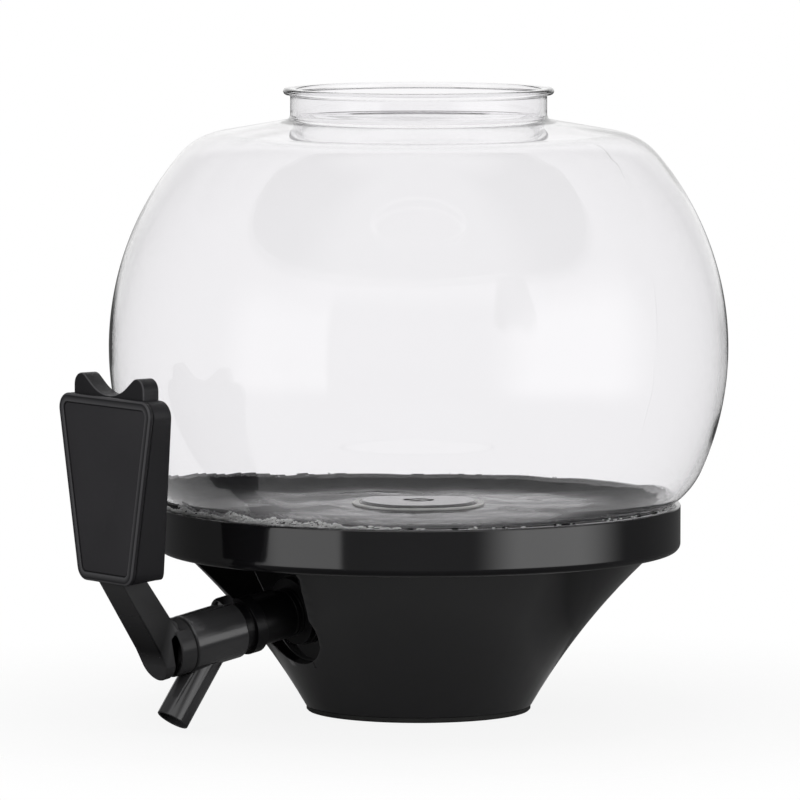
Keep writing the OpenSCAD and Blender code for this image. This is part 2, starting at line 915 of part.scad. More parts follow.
module lever() {
    pocket_r = barrel_r - 1.1;
    pocket_back = hub_l * 0.35;
    web_w = drive_w + 2.6;
    foot_r1 = arm_w / 2 + 0.4;
    foot_drop = barrel_r - foot_r1;
    color([0.05, 0.05, 0.055])
        difference() {
            union() {
                intersection() {
                    on_tap()
                        intersection() {
                            rotate([90, 0, 90])
                                linear_extrude(height = arm_w, center = true)
                                    arm_side();
                            union() {
                                translate([0, -foot_drop, 0])
                                    cylinder(r = foot_r1, h = far);
                                translate([-arm_w, -foot_drop, 0])
                                    cube([arm_w * 2, far, far]);
                            }
                        }
                    side_view(arm_w * 2)
                        paddle_under();
                }
                on_tap()
                    difference() {
                        translate([0, 0, seam_gap])
                            cylinder(r = barrel_r, h = hub_l - seam_gap);
                        difference() {
                            translate([0, 0, pocket_back])
                                cylinder(r = pocket_r, h = far);
                            translate([-web_w / 2, -far / 2, 0])
                                cube([web_w, far, far]);
                        }
                    }
                on_tap()
                    intersection() {
                        translate([-web_w / 2, -foot_r1, hub_l - 1])
                            cube([web_w, foot_r1 * 2, arm_t * 0.35]);
                        cylinder(r = foot_r1, h = far);
                    }
                translate([-tongue_w / 2, -tongue_front, paddle_z - 3])
                    cube([tongue_w, tongue_front - tongue_back, tongue_h]);
            }
            on_tap()
                translate([-drive_w / 2, -drive_w / 2, seam_gap - 1])
                    cube([drive_w, drive_w, drive_l + 1]);
        }
}

// Front outline of the paddle: a trapezoid with round corners, moved inward by a distance
module paddle_outline(in) {
    lean = (paddle_top_w - paddle_bottom_w) / 2 / paddle_h;
    slant = sqrt(1 + lean * lean);
    r = paddle_round - in;
    z0 = paddle_z + paddle_round;
    z1 = paddle_z + paddle_h - paddle_round;
    x0 = paddle_bottom_w / 2 + lean * paddle_round - paddle_round * slant;
    x1 = paddle_top_w / 2 - lean * paddle_round - paddle_round * slant;
    nx = r / slant;
    nz = -r * lean / slant;
    for (side = [-1, 1])
        translate([side * x0, z0])
            circle(r, $fn = 48);
    for (side = [-1, 1])
        translate([side * x1, z1])
            circle(r, $fn = 48);
    polygon([[-x0, z0 - r], [x0, z0 - r], [x0 + nx, z0 + nz], [x1 + nx, z1 + nz], [x1, z1 + r],
        [-x1, z1 + r], [-x1 - nx, z1 + nz], [-x0 - nx, z0 + nz]]);
}

// Crest: two round ears whose inner sides run in a straight flank down into a wide valley
module crest_outline() {
    ear_z = crest_z + crest_h - ear_r;
    valley_z = crest_z + 0.5 + valley_r;
    apart = sqrt(ear_x * ear_x + (valley_z - ear_z) * (valley_z - ear_z));
    flank = asin((ear_r + valley_r) / apart) - atan2(valley_z - ear_z, ear_x);
    nx = sin(flank);
    nz = cos(flank);
    ear_p = [ear_x - (ear_r - eps) * nx, ear_z + (ear_r - eps) * nz];
    valley_p = [(valley_r + eps) * nx, valley_z - (valley_r + eps) * nz];
    low = crest_z - paddle_round;
    for (side = [-1, 1])
        translate([side * ear_x, ear_z])
            circle(ear_r, $fn = 48);
    difference() {
        union() {
            polygon([[-ear_x, low], [ear_x, low], [ear_x, ear_z], ear_p, valley_p, [0, valley_z],
                [-valley_p[0], valley_p[1]], [-ear_p[0], ear_p[1]], [-ear_x, ear_z]]);
            translate([-crest_w / 2, low])
                square([crest_w, ear_z - low]);
        }
        translate([0, valley_z])
            circle(valley_r);
    }
}

module paddle_body() {
    back_top = frame_back - paddle_top_t;
    back_bottom = frame_back - paddle_bottom_t;
    color([0.17, 0.17, 0.175])
        difference() {
            union() {
                intersection() {
                    front_view(back_bottom - 5, frame_back)
                        paddle_outline(0);
                    side_view(paddle_top_w + 10)
                        polygon([[frame_back + 1, paddle_z - 1], [frame_back + 1, crest_z + 1],
                            [back_top, crest_z + 1], [back_bottom, paddle_z + bottom_rise],
                            [paddle_y, paddle_z]]);
                }
                front_view(crest_back, crest_front)
                    crest_outline();
            }
            translate([-tongue_w / 2 - fit, -tongue_front - fit, paddle_z - 4])
                cube([tongue_w + fit * 2, tongue_front - tongue_back + fit * 2, tongue_h + 1 + fit]);
            for (z = [paddle_screw_low, paddle_screw_high])
                front_view(back_bottom - 6, frame_back + 1)
                    translate([0, z])
                        circle(paddle_screw_r + 0.2, $fn = 24);
            for (z = [paddle_screw_low, paddle_screw_high])
                front_view(back_bottom - 6, frame_back - 4)
                    translate([0, z])
                        circle(paddle_head_r + 0.3, $fn = 32);
        }
}

module paddle_frame() {
    color([0.18, 0.18, 0.185])
        difference() {
            union() {
                front_view(frame_back, paddle_y - 0.7)
                    paddle_outline(0);
                front_view(frame_back, paddle_y)
                    paddle_outline(0.7);
            }
            front_view(paddle_y - panel_t, paddle_y + 1)
                paddle_outline(frame_rim);
        }
}

module paddle_panel() {
    color([0.2, 0.2, 0.205])
        front_view(paddle_y - panel_t, paddle_y - panel_t + 0.4)
            paddle_outline(frame_rim + panel_gap);
}

module paddle_screw(z) {
    color([0.7, 0.7, 0.72])
        union() {
            front_view(frame_back - 4 - paddle_head_t, frame_back - 4)
                translate([0, z])
                    circle(paddle_head_r, $fn = 32);
            front_view(frame_back - 4.5, frame_back - fit)
                translate([0, z])
                    circle(paddle_screw_r, $fn = 24);
        }
}

module paddle_screw_low() {
    paddle_screw(paddle_screw_low);
}

module paddle_screw_high() {
    paddle_screw(paddle_screw_high);
}

foot_pad();
base_cone();
bottom_cover();
cover_screws();
collar_tray();
seat_gasket();
globe();
sealant_bead();
drain_washer_top();
drain_fitting();
drain_washer_low();
drain_nut();
drain_elbow();
feed_hose();
hose_clip_drain();
hose_clip_tap();
tap_body();
tap_shank();
shank_gasket();
shank_washer();
shank_nut();
valve_plug();
plug_ring_front();
plug_ring_back();
lever();
paddle_body();
paddle_frame();
paddle_panel();
paddle_screw_low();
paddle_screw_high();
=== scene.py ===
# %% [markdown]
# # A globe drink dispenser with a lever tap
# A clear globe sits in a glossy black collar on a flared base, and a sloping plug tap with a paddle
# lever comes out of an alcove in the base. The solids come packed from the CAD model and set every
# size. This lesson gives them their looks: clear plastic with ripples, gloss, satin, sealant.

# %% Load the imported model
import math
import bmesh
import bpy
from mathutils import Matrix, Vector, noise
from mathutils.bvhtree import BVHTree


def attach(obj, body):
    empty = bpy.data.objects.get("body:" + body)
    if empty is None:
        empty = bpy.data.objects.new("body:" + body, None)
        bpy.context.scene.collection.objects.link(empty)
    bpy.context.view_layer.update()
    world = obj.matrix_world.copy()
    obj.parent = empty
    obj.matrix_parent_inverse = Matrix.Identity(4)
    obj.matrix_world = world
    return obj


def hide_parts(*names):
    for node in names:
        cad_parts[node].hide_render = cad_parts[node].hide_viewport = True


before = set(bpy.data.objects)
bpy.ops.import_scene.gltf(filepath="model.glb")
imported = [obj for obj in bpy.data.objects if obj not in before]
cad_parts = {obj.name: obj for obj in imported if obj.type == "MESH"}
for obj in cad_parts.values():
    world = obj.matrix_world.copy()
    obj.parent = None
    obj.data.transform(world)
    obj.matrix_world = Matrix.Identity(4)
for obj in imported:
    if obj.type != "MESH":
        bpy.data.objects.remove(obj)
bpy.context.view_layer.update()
MM = 0.001

# %% [markdown]
# ## Camera
# The picture was taken from about 2.8 m away with a long lens, about 5 degrees above the level and
# 53 degrees round from the tap. Long lenses flatten a globe, so the distance matters as much as the
# angle. The aim point lies a little to the left of the axis, which sets the globe right of the middle.

# %% Camera at the photograph's view
VIEW_TURN = math.radians(53.3)
VIEW_RISE = math.radians(5.1)
VIEW_FAR = 2.809
AIM_HEIGHT, AIM_LEFT = 115.6 * MM, 6.9 * MM


def around(turn, far, height):
    """A point at a turn from the front, where the tap is, counted to the right."""
    return Vector((math.sin(turn) * far, -math.cos(turn) * far, height))


def linked(name, data):
    """A new object in the scene."""
    made = bpy.data.objects.new(name, data)
    bpy.context.collection.objects.link(made)
    return made


to_right = around(VIEW_TURN + math.pi / 2, 1, 0)
aim = Vector((0, 0, AIM_HEIGHT)) - to_right * AIM_LEFT
eye = aim + around(VIEW_TURN, VIEW_FAR * math.cos(VIEW_RISE), VIEW_FAR * math.sin(VIEW_RISE))
camera = linked("camera", bpy.data.cameras.new("camera"))
camera.data.lens = 340
camera.data.sensor_width = 36
camera.data.clip_end = 100
camera.location = eye
camera.rotation_euler = (aim - eye).to_track_quat("-Z", "Y").to_euler()
bpy.context.scene.camera = camera
print("camera at", [round(v, 3) for v in eye])

# %% [markdown]
# ## Node helpers
# A moulded surface is never one flat number. Each finish below is a Principled shader whose colour,
# roughness and bump are fed by small noises in Object coordinates, so a pattern stays on its piece.
# A value that is the same all over is set on the shader's own socket. The first helpers below also
# build the geometry trees, the world and the floor later on.


# %% Helpers for all node trees
def join(tree, value, place):
    """Links a socket to an input, or sets the input to a plain value."""
    if isinstance(value, bpy.types.NodeSocket):
        tree.links.new(value, place)
    elif value is not None:
        place.default_value = value


def add(tree, kind, **values):
    """A node whose inputs are set or linked by name. Other names are settings of the node itself."""
    made = tree.nodes.new(kind)
    for label, value in values.items():
        place = label.replace("_", " ")
        if place in made.inputs:
            join(tree, value, made.inputs[place])
        else:
            setattr(made, label, value)
    return made


def maths(tree, operation, a, b=None):
    made = add(tree, "ShaderNodeMath", operation=operation)
    join(tree, a, made.inputs[0])
    join(tree, b, made.inputs[1])
    return made.outputs["Value"]


def vectors(tree, operation, a, b=None, scale=None, result="Vector"):
    made = add(tree, "ShaderNodeVectorMath", operation=operation)
    join(tree, a, made.inputs[0])
    join(tree, b, made.inputs[1])
    if scale is not None:
        join(tree, scale, made.inputs["Scale"])
    return made.outputs[result]


def mix(tree, factor, first, second):
    return add(tree, "ShaderNodeMix", Factor=factor, A=first, B=second).outputs["Result"]


# %% Helpers for finishes
def new_finish(name):
    mat = bpy.data.materials.new(name)
    mat.use_nodes = True
    tree = mat.node_tree
    return mat, tree, tree.nodes["Principled BSDF"]


def object_place(tree):
    return tree.nodes.new("ShaderNodeTexCoord").outputs["Object"]


def grain(tree, scale, detail=3.0, stretch=(1, 1, 1)):
    """Noise in Object coordinates, scale in waves per metre."""
    shape = add(tree, "ShaderNodeMapping", Vector=object_place(tree), Scale=stretch)
    made = add(tree, "ShaderNodeTexNoise", Vector=shape.outputs["Vector"], Scale=scale, Detail=detail)
    return made.outputs["Fac"]


def spread(tree, fac, low, high, start=0.3, end=0.7):
    """Stretches a value from start..end to low..high."""
    made = add(tree, "ShaderNodeMapRange", Value=fac, From_Min=start, From_Max=end, To_Min=low, To_Max=high)
    return made.outputs["Result"]


def tint(tree, fac, dark, light, start=0.3, end=0.7):
    """A colour between dark and light."""
    made = add(tree, "ShaderNodeValToRGB", Fac=fac)
    for stop, position, colour in zip(made.color_ramp.elements, (start, end), (dark, light)):
        stop.position = position
        stop.color = (*colour, 1)
    return made.outputs["Color"]


def emboss(tree, height, depth_mm, before=None):
    made = add(tree, "ShaderNodeBump", Distance=depth_mm * MM, Height=height, Normal=before)
    return made.outputs["Normal"]


print("node helpers ready")

# %% [markdown]
# ## Black plastics
# The base and collar are glossy, the tap is semi-gloss and the lever is satin with a fine spark
# texture. All share one recipe: a nearly black colour that drifts a little, smudges in the roughness,
# and a bump whose grain gets coarser from gloss to satin. Rounded edges get a painted highlight, a paler
# tone where a piece carries the edge attribute.


# %% One recipe for the black plastics
def black_plastic(name, tone, rough, grain_size, grain_depth, shine, glint=0.5, ior=1.5):
    """Tone and roughness range, grain in waves per metre and mm, mirror strength and strength of the painted
    highlight on edges.
    """
    mat, tree, shader = new_finish(name)
    smudge = grain(tree, 60, 6, (1, 1, 0.45))
    drift = tint(tree, grain(tree, 22, 4), [c * 0.86 for c in tone], [c * 1.14 for c in tone])
    # Edges that carry the attribute get a paler tone: a painted highlight along rounded edges.
    edge = add(tree, "ShaderNodeAttribute", attribute_name="painted_edge_highlight").outputs["Fac"]
    highlit = add(tree, "ShaderNodeMix", data_type="RGBA", Factor=spread(tree, edge, 0, glint, 0, 1),
               A=drift, B=(*(c * 2.6 + 0.04 for c in tone), 1))
    tree.links.new(highlit.outputs["Result"], shader.inputs["Base Color"])
    tree.links.new(spread(tree, smudge, rough[0], rough[1]), shader.inputs["Roughness"])
    soft = emboss(tree, grain(tree, 34, 1), 0.05)
    tree.links.new(emboss(tree, grain(tree, grain_size, 2), grain_depth, soft), shader.inputs["Normal"])
    shader.inputs["Specular IOR Level"].default_value = shine
    shader.inputs["IOR"].default_value = ior
    return mat


GLOSS_TONE = (0.0092, 0.0089, 0.0100)
gloss_black = black_plastic("gloss_black", GLOSS_TONE, (0.05, 0.11), 900, 0.0012, 0.5, 0.15, 1.58)
drain_black = black_plastic("drain_black", GLOSS_TONE, (0.02, 0.05), 900, 0.0012, 0.5, 0.15, 1.58)
deck_black = black_plastic("deck_black", (0.0070, 0.0068, 0.0076), (0.60, 0.75), 1400, 0.010, 0.05)
tap_black = black_plastic("tap_black", (0.0085, 0.0083, 0.0093), (0.11, 0.19), 1200, 0.003, 0.5, 0.8, 1.55)
# The shank's tone is darker than the tap's: painted shade for the alcove it sits in. It is also rougher and
# shines less.
shank_shaded_black = black_plastic("shank_shaded_black", (0.0060, 0.0058, 0.0065), (0.30, 0.42), 1200, 0.004, 0.25, 0.3)
arm_black = black_plastic("arm_black", (0.0068, 0.0066, 0.0073), (0.40, 0.50), 2200, 0.006, 0.16, 0.9)
satin_black = black_plastic("satin_black", (0.0190, 0.0185, 0.0204), (0.42, 0.54), 2600, 0.006, 0.25, 1.0)
panel_black = black_plastic("panel_black", (0.0372, 0.0360, 0.0394), (0.46, 0.58), 3400, 0.005, 0.28, 0)
matte_black = black_plastic("matte_black", (0.024, 0.0235, 0.0255), (0.5, 0.65), 1800, 0.02, 0.4)
blacks = (gloss_black, drain_black, deck_black, tap_black, shank_shaded_black, arm_black, satin_black, panel_black,
          matte_black)
print("black plastics:", [mat.name for mat in blacks])

# %% [markdown]
# ## Clear plastic
# The globe is blow moulded, so its wall is not even. The ripples are real waves in the mesh, because
# waves bend what is seen through the wall. The shader only adds a grey cast, faint haze and fine flow
# marks. The floor of the globe gets a finish of its own. It is bedded on the black deck with no air
# between, so it reads as a black surface under a clear skin. It is polished round the drain, streaky
# further out and dull at the heel, and so it mirrors the white room in the middle and goes dark outside.


# %% Clear plastic, floor, sealant and hose
def see_through(name, ior, share=1.0, colour=None):
    """A finish that lets a share of the light through. Without a colour, the colour is linked later."""
    mat, tree, shader = new_finish(name)
    shader.inputs["Transmission Weight"].default_value = share
    shader.inputs["IOR"].default_value = ior
    if colour:
        shader.inputs["Base Color"].default_value = (*colour, 1)
    return mat, tree, shader


clear, tree, shader = see_through("clear_plastic", 1.47, colour=(0.95, 0.945, 0.955))
haze = spread(tree, grain(tree, 14, 5, (1, 1, 0.6)), 0.0, 0.03, 0.45, 0.8)
tree.links.new(haze, shader.inputs["Roughness"])
tree.links.new(emboss(tree, grain(tree, 45, 2, (1, 1, 0.25)), 0.02), shader.inputs["Normal"])

POLISH_END, STREAKS_START, STREAKS_END, DULL_START = (r * MM for r in (29, 34, 60, 78))
dull_floor, tree, shader = see_through("dull_floor", 1.2, 0.0)
bedding = tint(tree, grain(tree, 90, 5, (1, 1, 0.2)), (0.006, 0.006, 0.007), (0.022, 0.022, 0.023))
tree.links.new(bedding, shader.inputs["Base Color"])
level = vectors(tree, "MULTIPLY", object_place(tree), (1, 1, 0))
from_axis = vectors(tree, "LENGTH", level, result="Value")
polish = spread(tree, grain(tree, 60, 3), 0.04, 0.12)
streaks = spread(tree, grain(tree, 30, 6, (1, 1, 0.2)), 0.36, 0.06, 0.4, 0.62)
middle = mix(tree, spread(tree, from_axis, 0, 1, POLISH_END, STREAKS_START), polish, streaks)
whole = mix(tree, spread(tree, from_axis, 0, 1, STREAKS_END, DULL_START), middle, 0.6)
tree.links.new(whole, shader.inputs["Roughness"])

seat_clear, tree, shader = see_through("seat_silicone", 1.41, colour=(0.9, 0.9, 0.9))
tree.links.new(spread(tree, grain(tree, 300, 3), 0.15, 0.3), shader.inputs["Roughness"])

sealant, tree, shader = see_through("clear_sealant", 1.41, 0.05)
cloud = grain(tree, 420, 4)
tree.links.new(tint(tree, cloud, (0.86, 0.86, 0.86), (0.97, 0.97, 0.97)), shader.inputs["Base Color"])
tree.links.new(spread(tree, cloud, 0.18, 0.42), shader.inputs["Roughness"])
tree.links.new(emboss(tree, grain(tree, 700, 3), 0.12), shader.inputs["Normal"])

hose_clear, tree, shader = see_through("milky_hose", 1.45, 0.5)
milk = grain(tree, 160, 3, (1, 0.2, 1))
tree.links.new(tint(tree, milk, (0.66, 0.68, 0.68), (0.8, 0.82, 0.82)), shader.inputs["Base Color"])
tree.links.new(spread(tree, milk, 0.25, 0.4), shader.inputs["Roughness"])
print("clear finishes:", [mat.name for mat in (clear, dull_floor, seat_clear, sealant, hose_clear)])


# %% [markdown]
# ## Rubber, plug plastic and plated steel
# These sit inside or under the dispenser. They are looked at when someone turns the part over, so
# each gets its own grain: chalky rubber, cloudy white plug plastic, turned and plated steel.


# %% Finishes of the hidden pieces
def rubber(name, dark, light, rough):
    mat, tree, shader = new_finish(name)
    dust = grain(tree, 130, 5)
    tree.links.new(tint(tree, dust, dark, light), shader.inputs["Base Color"])
    tree.links.new(spread(tree, dust, rough, rough + 0.18), shader.inputs["Roughness"])
    tree.links.new(emboss(tree, grain(tree, 1500, 2), 0.03), shader.inputs["Normal"])
    shader.inputs["Specular IOR Level"].default_value = 0.3
    return mat


foot_rubber = rubber("foot_rubber", (0.016, 0.016, 0.016), (0.032, 0.032, 0.031), 0.62)
seal_rubber = rubber("seal_rubber", (0.006, 0.006, 0.006), (0.012, 0.012, 0.012), 0.55)
white_rubber = rubber("white_rubber", (0.62, 0.62, 0.6), (0.78, 0.78, 0.76), 0.42)
plug_white = rubber("plug_white", (0.68, 0.68, 0.66), (0.8, 0.8, 0.78), 0.3)
steel, tree, shader = new_finish("plated_steel")
brush = grain(tree, 900, 2, (1, 1, 0.08))
tree.links.new(tint(tree, brush, (0.5, 0.5, 0.51), (0.68, 0.68, 0.69)), shader.inputs["Base Color"])
tree.links.new(spread(tree, brush, 0.24, 0.4), shader.inputs["Roughness"])
tree.links.new(emboss(tree, brush, 0.01), shader.inputs["Normal"])
shader.inputs["Metallic"].default_value = 1.0

FINISH_OF_NODE = {
    "foot_pad": foot_rubber, "bottom_cover": matte_black, "cover_screws": steel, "seat_gasket": seat_clear,
    "drain_washer_top": white_rubber, "drain_fitting": drain_black, "drain_washer_low": seal_rubber,
    "drain_nut": matte_black, "drain_elbow": matte_black, "feed_hose": hose_clear,
    "hose_clip_drain": steel, "hose_clip_tap": steel, "shank_gasket": seal_rubber,
    "shank_washer": seal_rubber, "shank_nut": matte_black, "valve_plug": plug_white,
    "plug_ring_front": seal_rubber, "plug_ring_back": seal_rubber,
    "paddle_screw_low": steel, "paddle_screw_high": steel,
}
for name, mat in FINISH_OF_NODE.items():
    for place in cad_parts[name].material_slots:
        place.material = mat
print("kept CAD nodes with new finishes:", len(FINISH_OF_NODE))


# %% [markdown]
# ## Turning a profile
# Globe and collar are bodies of revolution. A closed outline of radius and height is turned about the
# axis. The turn may be uneven, so that there are more points where a fine ridge runs, and a small
# shift per point makes the ripples. Doing it in plain code keeps full control of both.


# %% Lathe for closed outlines
def arc(cx, cz, r, first, last, steps):
    """Points of an arc, angles in degrees from the outward radius."""
    turns = [math.radians(first + (last - first) * i / steps) for i in range(steps + 1)]
    return [(cx + r * math.cos(t), cz + r * math.sin(t)) for t in turns]


def line(a, b, steps):
    """Points between two ends, without the ends."""
    return [(a[0] + (b[0] - a[0]) * i / steps, a[1] + (b[1] - a[1]) * i / steps) for i in range(1, steps)]


def piece(name, mesh, mat, body, slot, *stands_for):
    """An object of a mesh that rides on a body, has mat as its material and stands for CAD nodes. slot is not
    used.
    """
    made = linked(name, mesh)
    mesh.materials.clear()
    mesh.materials.append(mat)
    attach(made, body)
    if stands_for:
        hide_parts(*stands_for)
    return made


def solid_mesh(name, points, faces, sharp=38):
    """Mesh of points in mm with its faces turned outwards and its real edges kept sharp."""
    mesh = bpy.data.meshes.new(name)
    mesh.from_pydata([Vector(p) * MM for p in points], [], faces)
    mesh.validate()
    bm = bmesh.new()
    bm.from_mesh(mesh)
    bmesh.ops.recalc_face_normals(bm, faces=bm.faces)
    bm.to_mesh(mesh)
    bm.free()
    mesh.shade_smooth()
    mesh.set_sharp_from_angle(angle=math.radians(sharp))
    return mesh


def turned(name, outline, turns, shift=None):
    """Mesh of a closed outline in mm turned about Z. shift gives an outward shift in mm."""
    count = len(outline)
    points = []
    for turn in turns:
        for i, (r, z) in enumerate(outline):
            out = shift(i, r, z, turn) if shift else (0, 0)
            r2, z2 = r + out[0], z + out[1]
            points.append((r2 * math.cos(turn), r2 * math.sin(turn), z2))
    faces = []
    for a in range(len(turns)):
        b = (a + 1) % len(turns)
        for i in range(count):
            j = (i + 1) % count
            faces.append((a * count + i, b * count + i, b * count + j, a * count + j))
    return solid_mesh(name, points, faces)


def evaluated_mesh(made, name):
    """The mesh of an object with its modifiers applied. The object itself goes."""
    bpy.context.view_layer.update()
    mesh = bpy.data.meshes.new_from_object(made.evaluated_get(bpy.context.evaluated_depsgraph_get()))
    bpy.data.objects.remove(made)
    mesh.name = name
    return mesh


def merge_into(first, second):
    bm = bmesh.new()
    bm.from_mesh(first)
    bm.from_mesh(second)
    bm.to_mesh(first)
    bm.free()


print("lathe ready")

# %% [markdown]
# ## Globe
# The outline repeats the CAD model: flat floor, round heel, a side arc a little flatter than a ball,
# a rounded shoulder that falls ten degrees from the neck, and a rolled rim. The shoulder is where the
# plastic was blown thinnest, and a thin wall keeps a black line of trapped light out of its bend. The
# ripples grow towards the heel, and the floor has rings and streaks round the drain. A fine broken
# ridge at the back, opposite the tap, marks where the two mould halves met. The dark bedding under the
# floor ends on the heel in a ragged line, which climbs on the side where the sealant was smeared.

# %% Outline of the globe
FLOOR, WALL, SIDE_R = 72.5, 2.2, 110.65
SIDE_C = Vector((115 - SIDE_R, FLOOR + 62.9))
HEEL_R, HEEL_Z = 30.0, FLOOR + 30.0
HEEL_X = SIDE_C.x + math.sqrt((SIDE_R - HEEL_R) ** 2 - (HEEL_Z - SIDE_C.y) ** 2)
NECK_R, NECK_IN, SHOULDER_Z = 47.6, 45.4, SIDE_C.y + 84.6
RIM_TOP = SHOULDER_Z + 11.7
DRAIN_HOLE, FILLET, LIP = 10.8, 2.5, 0.9
NECK_CORNER = [(NECK_IN, 220.2), (NECK_IN + 0.25, 219.65), (NECK_IN + 0.9, 219.21)]
fall = math.radians(10)
fall_n, fall_u = Vector((math.sin(fall), math.cos(fall))), Vector((math.cos(fall), -math.sin(fall)))
ROUND_R, THIN_WALL = 24.0, 1.0
HEEL_STEPS, SIDE_STEPS = 44, 58
start = Vector((NECK_R, SHOULDER_Z)) - ROUND_R * fall_n - SIDE_C
ahead = start.dot(fall_u)
run = math.sqrt(ahead * ahead - start.dot(start) + (SIDE_R - ROUND_R) ** 2) - ahead
ROUND_C = Vector((NECK_R, SHOULDER_Z)) - ROUND_R * fall_n + run * fall_u
low_angle = math.degrees(math.atan2(HEEL_Z - SIDE_C.y, HEEL_X - SIDE_C.x))
high_angle = math.degrees(math.atan2(ROUND_C.y - SIDE_C.y, ROUND_C.x - SIDE_C.x))
fillet_z = SHOULDER_Z + FILLET * (1 - fall_n.x) / fall_n.y
outer = [(DRAIN_HOLE, FLOOR)] + line((DRAIN_HOLE, FLOOR), (HEEL_X, FLOOR), 14)
outer += arc(HEEL_X, HEEL_Z, HEEL_R, -90, low_angle, HEEL_STEPS)
outer += arc(SIDE_C.x, SIDE_C.y, SIDE_R, low_angle, high_angle, SIDE_STEPS)[1:]
outer += arc(ROUND_C.x, ROUND_C.y, ROUND_R, high_angle, 80, 14)[1:]
fillet_low = (NECK_R + FILLET - FILLET * fall_n.x, fillet_z - FILLET * fall_n.y)
outer += line(outer[-1], fillet_low, 10)
outer += arc(NECK_R + FILLET, fillet_z, FILLET, 260, 180, 6)
outer += line((NECK_R, fillet_z), (NECK_R, RIM_TOP - 2.7), 4)
outer += arc(NECK_R + 0.3, RIM_TOP - 2.7, 0.3, 180, 90, 3)
outer += arc(NECK_R + 1.4, RIM_TOP - 1.2, 1.2, -90, 90, 10)
inner = arc(NECK_IN + LIP, RIM_TOP - LIP, LIP, 90, 180, 6)
inner += line((NECK_IN, RIM_TOP - LIP), NECK_CORNER[0], 4) + NECK_CORNER
inner_fall = ROUND_C + (ROUND_R - THIN_WALL) * fall_n
inner += line(NECK_CORNER[-1], tuple(inner_fall), 10)
inner += arc(ROUND_C.x, ROUND_C.y, ROUND_R - THIN_WALL, 80, high_angle, 14)
for k in range(1, SIDE_STEPS + 1):
    angle = high_angle + (low_angle - high_angle) * k / SIDE_STEPS
    wall = THIN_WALL + (WALL - THIN_WALL) * min(1, 1.5 * k / SIDE_STEPS)
    inner += arc(SIDE_C.x, SIDE_C.y, SIDE_R - wall, angle, angle, 1)[:1]
inner += arc(HEEL_X, HEEL_Z, HEEL_R - WALL, low_angle, -90, HEEL_STEPS)[1:]
inner += line((HEEL_X, FLOOR + WALL), (DRAIN_HOLE, FLOOR + WALL), 46) + [(DRAIN_HOLE, FLOOR + WALL)]
print("globe outline:", len(outer), "outside and", len(inner), "inside points")

# %% Ripples and mould ridge
GLOBE_TURNS, RIDGE_TURN, RIDGE_WIDE, RIDGE_HIGH = 256, math.pi / 2, 0.32, 0.055
globe_turns = sorted(
    {round(i * 2 * math.pi / GLOBE_TURNS, 6) for i in range(GLOBE_TURNS)}
    | {round(RIDGE_TURN + k * 0.0011, 6) for k in range(-5, 6)}
)


def ridge(turn, r, z):
    """Height of the mould ridge in mm. It comes and goes along its height."""
    across = (turn - RIDGE_TURN) * r
    strong = min(1, max(0, 0.35 + 1.6 * noise.noise(Vector((0.5, 2.5, z * 0.045)))))
    return RIDGE_HIGH * strong * math.exp(-(across / RIDGE_WIDE) ** 2)


def globe_shift(i, r, z, turn):
    """Shift in mm of a point of the outline: rings and streaks on the floor, ripples elsewhere."""
    outside = i < len(outer)
    flat = Vector((r * math.cos(turn), r * math.sin(turn), z))
    if z > SHOULDER_Z + 1 or r < 12:
        return 0, 0
    if not outside and z < FLOOR + WALL + 0.01:
        calm = min(1, (r - 12) / 6)
        rings = 0.10 * math.sin(r * 0.62 + 2.2 * noise.noise(flat * 0.03))
        streaks = 0.22 * noise.noise(Vector((flat.x * 0.07, flat.y * 0.07, 3.1)))
        streaks += 0.10 * noise.noise(Vector((flat.x * 0.19, flat.y * 0.19, 9.4)))
        return 0, calm * (rings * max(0, 1 - r / 60) + streaks)
    if z <= FLOOR + 0.1:
        return 0, 0
    low = max(0.0, (150 - z) / 75)
    long_wave = Vector((flat.x * 0.022, flat.y * 0.022, flat.z * 0.03 + (0 if outside else 40)))
    short_wave = flat * 0.06 + Vector((0, 0, 11 if outside else 71))
    wave = 0.05 * noise.noise(long_wave) + (0.015 + 0.035 * low) * noise.noise(short_wave)
    if outside and z > FLOOR + 3:
        wave += ridge(turn, r, z)
    out = Vector((r - SIDE_C.x, z - SIDE_C.y)).normalized()
    return out.x * wave, out.y * wave


DARK_TOP, DARK_CLIMB = 77.4, 5.5
globe_mesh = turned("globe_clear", outer + inner, globe_turns, globe_shift)
globe = piece("globe_clear", globe_mesh, clear, "vessel", "clear_plastic", "globe")
globe.data.materials.append(dull_floor)
smear_side = around(VIEW_TURN - math.radians(100), 1, 0)
floor_faces = 0
for face in globe.data.polygons:
    way = Vector((face.center.x, face.center.y, 0)).normalized()
    ragged = 0.45 * noise.noise(way * 9) + 0.3 * noise.noise(way * 31)
    top = DARK_TOP + DARK_CLIMB * max(0, way.dot(smear_side)) ** 5 + ragged
    if face.center.z < top * MM:
        face.material_index = 1
        floor_faces += 1
print("globe faces:", len(globe.data.polygons), "of them on the dull floor:", floor_faces)

# %% [markdown]
# ## Collar tray
# The collar is a turned black ring with a rounded lower edge and a thin lip. It is turned like the
# globe, with finer edges than the CAD solid. The deck inside it, which carries the globe, is left as it
# came from the mould, matte, so it mirrors nothing at a low angle.

